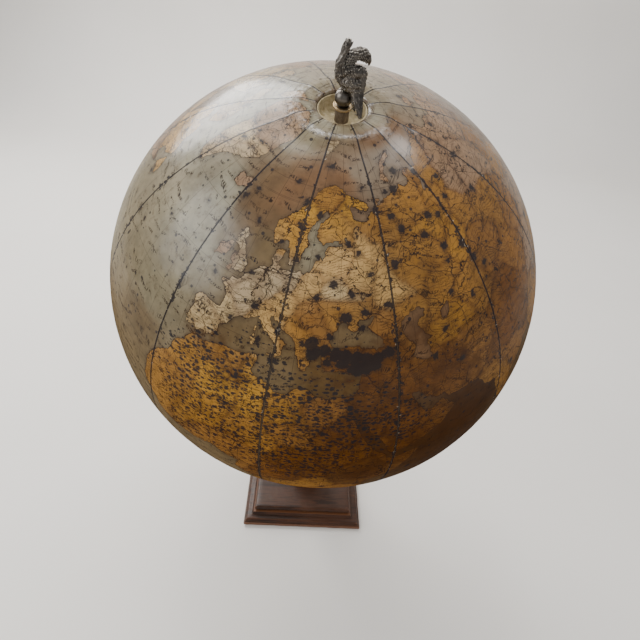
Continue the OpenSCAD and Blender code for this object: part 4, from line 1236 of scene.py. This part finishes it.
wear_the_mitres(lower, 0.5, 14)
wear_the_mitres(upper, 0.5, 14)
settle(lower, walnut_flat, "stand", "walnut", "plinth_base")
settle(upper, walnut_flat, "stand", "walnut", "plinth_cap")

# %% [markdown]
# ## The turned column and its brass
# The column is one turned piece: a round foot, a hollow, a ring, a long vase with fine scribed
# lines, a second ring and a flared neck. A brass ferrule closes its top, and a brass ball with a
# clamp screw holds the leaning rod.

# %% Column
def vase_r(part):
    """Its radius, with part going from 0 at the foot to 1 at the neck."""
    return 13.2 + 6.6 * math.sin(math.pi * part**0.62) - 4.4 * part


VASE_FOOT, VASE_TALL, VASE_RINGS = 33, 84, 57
SCRIBED = (9, 11, 47, 49)
section = [(4.02, 15.82), (11.98, 15.82), (11.98, 18.83), (22.6, 18.83)]
section += arc_points(22.6, 21.22, 2.4, -85, 90, 12) + [(20.6, 23.62), (20.4, 24.1)]
section += arc_points(21.8, 27.1, 3.6, 246, 150, 12)[1:-1] + [(17.2, 27.7), (17.0, 27.75)]
section += arc_points(17.4, 30.2, 2.6, -72, 74, 12) + [(14.4, 32.9), (13.2, 33.0)]
for ring in range(1, VASE_RINGS):
    part = ring / VASE_RINGS
    groove = 0.35 if ring in SCRIBED else 0.0
    section.append((vase_r(part) - groove, VASE_FOOT + VASE_TALL * part))
section += [(9.0, 117.0), (9.9, 117.3), (10.2, 117.8), (10.2, 119.2)]
section += arc_points(10.4, 121.8, 2.5, -88, 88, 12)
section += [(8.9, 124.5), (8.8, 125.4), (8.75, 130.2), (9.2, 132.2), (10.1, 134.6), (11.4, 137.2),
            (12.5, 139.2), (12.6, 139.8), (12.4, 140.0), (12.0, 140.0), (12.0, 153.0), (5.02, 153.0),
            (5.02, 131.0), (4.02, 131.0)]
column = turned("turned_column", section, 120, 40)
settle(column, walnut_turned, "stand", "walnut", "column")

# %% Ferrule
section = [(12.04, 140.06), (13.0, 140.06)] + arc_points(12.8, 141.6, 1.5, -78, 80, 10)
section += [(13.2, 143.3), (13.25, 145.6), (13.0, 145.8), (13.0, 146.2), (13.25, 146.4), (13.25, 151.4)]
section += arc_points(12.8, 152.8, 1.2, -66, 88, 10)
section += [(12.2, 154.0), (7.5, 154.0), (7.42, 153.08), (12.04, 153.06)]
ferrule = turned("brass_ferrule", section, 120, 40)
settle(ferrule, brass, "stand", "brass", "ferrule")

# %% Knuckle
KNUCKLE_Z, KNUCKLE_R = BALL_HEIGHT - ROD_DROP * math.cos(TILT), 13.5
section = [(0.0, 133.0), (4.8, 133.0), (5.0, 133.2), (5.0, 154.04), (7.2, 154.06), (7.2, 155.6),
           (6.9, 155.9), (6.9, 156.6), (7.2, 156.9)]
section += arc_points(0, KNUCKLE_Z, KNUCKLE_R, -56, -2, 16)
section += [(13.3, KNUCKLE_Z - 0.3), (13.3, KNUCKLE_Z + 0.3)]
section += arc_points(0, KNUCKLE_Z, KNUCKLE_R, 2, 90, 24)
knuckle = turned("brass_knuckle", section, 120, 40)


def drill(piece, radius, length, place):
    """Bores a round hole, whose length runs along the place's own z."""
    clear_selection()
    bpy.ops.mesh.primitive_cylinder_add(vertices=48, radius=radius * MM, depth=length * MM)
    bit = named("drill_bit")
    bit.data.transform(place)
    apply(piece, "BOOLEAN", object=bit, operation="DIFFERENCE", solver="EXACT")
    bpy.data.objects.remove(bit)
    smooth(piece, 40)


SIDEWAYS = Matrix.Translation((0, 0, KNUCKLE_Z * MM)) @ Matrix.Rotation(math.radians(90), 4, "Y")
drill(knuckle, 2.52, 66, ON_AXIS @ Matrix.Translation((0, 0, -0.166)))
drill(knuckle, 2.02, 30, SIDEWAYS @ Matrix.Translation((0, 0, 0.015)))
drill(knuckle, 4.2, 10, SIDEWAYS @ Matrix.Translation((0, 0, 0.0169)))
settle(knuckle, brass, "stand", "brass", "rod_knuckle")

# %% Collar
collar = turned("brass_collar", outline(
    (2.52, -162.73), (7.5, -162.73, 0.4), (7.5, -160.0, 0.2), (6.6, -159.3, 0.5), (6.6, -158.1, 0.5),
    (7.5, -157.4, 0.2), (7.5, -154.73, 0.4), (2.52, -154.73)), 96, place=ON_AXIS)
IN_COLLAR = ON_AXIS @ Matrix.Translation((0, -0.0068, -0.15873))
drill(collar, 1.52, 10, IN_COLLAR @ Matrix.Rotation(math.radians(90), 4, "X"))
settle(collar, brass, "stand", "brass", "south_collar")

# %% [markdown]
# ## Finishes for the CAD nodes that keep their own shape
# Screws, bolt, rod, bushes, shells and hubs are right as they are, so each only gets its finish.

# %% CAD nodes
KEEP = {
    "felt_pad": baize, "ballast_plate": iron, "ballast_screws": steel, "column_bolt": steel,
    "column_washer": steel, "knuckle_screw": steel, "axis_rod": steel, "collar_screw": steel,
    "thrust_washer": steel, "shell_south": pasteboard, "shell_north": pasteboard,
    "equator_hoop": pasteboard, "south_hub": raw_wood, "north_hub": raw_wood, "south_bush": brass,
    "north_bush": brass,
}
for node, finish in KEEP.items():
    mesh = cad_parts[node].data
    mesh.materials.clear()
    mesh.materials.append(finish)
print(len(KEEP), "CAD nodes keep their shape")

# %% [markdown]
# ## Floor and light
# A wide pale floor whose back edge curves up into a wall, and soft light from five large lamps.
# One is like a tall window behind the ball on the left, one is low on the left, and a weak one in
# front leaves no shine of its own. A small one above adds a highlight, and one lights the wall.
# So the varnish shines on its upper left and the lower right lies in shade.

# %% Floor
FLOOR_SIZE, FLOOR_BACK, WALL_HEIGHT = 14, 1.9, 2.6
clear_selection()
bpy.ops.mesh.primitive_plane_add(size=FLOOR_SIZE, location=(0, FLOOR_BACK - FLOOR_SIZE / 2, 0))
floor = named("floor")
bpy.ops.object.transform_apply(location=True)
bpy.ops.object.mode_set(mode="EDIT")
bpy.ops.mesh.select_mode(type="EDGE")
bpy.ops.mesh.select_all(action="DESELECT")
bpy.ops.object.mode_set(mode="OBJECT")
for edge in floor.data.edges:
    edge.select = all(floor.data.vertices[v].co.y > FLOOR_BACK - 0.1 for v in edge.vertices)
bpy.ops.object.mode_set(mode="EDIT")
bpy.ops.mesh.extrude_region_move(TRANSFORM_OT_translate={"value": (0, 0, WALL_HEIGHT)})
bpy.ops.object.mode_set(mode="OBJECT")
apply(floor, "BEVEL", width=0.5, segments=12, limit_method="ANGLE")
smooth(floor, 60)
floor_finish, net, shader, spot = finish_of("pale_floor")
colour = net.mix(net.noise(spot, 3.0), paint(226, 222, 216), paint(216, 212, 206))
wire_up(net, shader, colour, 0.6)
floor.data.materials.append(floor_finish)


# %% Lamps
def lamp(name, place, size, watts, colour, target=CENTRE):
    light = bpy.data.lights.new(name, "AREA")
    light.shape, light.size, light.size_y = "RECTANGLE", size[0], size[1]
    light.energy, light.color = watts, colour
    holder = bpy.data.objects.new(name, light)
    bpy.context.scene.collection.objects.link(holder)
    holder.location = place
    holder.rotation_euler = (target - Vector(place)).to_track_quat("-Z", "Y").to_euler()
    return holder


lamp("window", CENTRE + Vector((-0.47, 0.63, 0.62)) * 1.9, (1.1, 1.3), 43.0, (1.0, 0.99, 0.97))
lamp("left_lamp", CENTRE + Vector((-0.9, -0.28, 0.42)) * 1.6, (1.1, 1.0), 13.0, (0.98, 0.99, 1.0))
front = lamp("front_lamp", CENTRE + Vector((-0.1, -0.8, 0.75)) * 2.2, (1.8, 1.4), 26.0,
             (1.0, 0.97, 0.93))
front.visible_glossy = False
lamp("wall_lamp", Vector((0.4, 0.35, 2.3)), (1.6, 0.6), 34.0, (1.0, 0.99, 0.98),
     Vector((0.3, 1.9, 0.5)))
lamp("ceiling_lamp", CENTRE + Vector((-0.2, 0.2, 0.96)) * 1.7, (0.45, 0.45), 5.5, (1.0, 0.99, 0.97))
world = bpy.data.worlds.new("room")
bpy.context.scene.world = world
world.use_nodes = True
room = world.node_tree.nodes["Background"]
room.inputs["Color"].default_value = (0.93, 0.95, 1.0, 1.0)
net = Net(world.node_tree)
seen = net.add("ShaderNodeLightPath").outputs["Is Camera Ray"]
net.wire(net.times_plus(seen, 0.38, 0.42), room.inputs["Strength"])
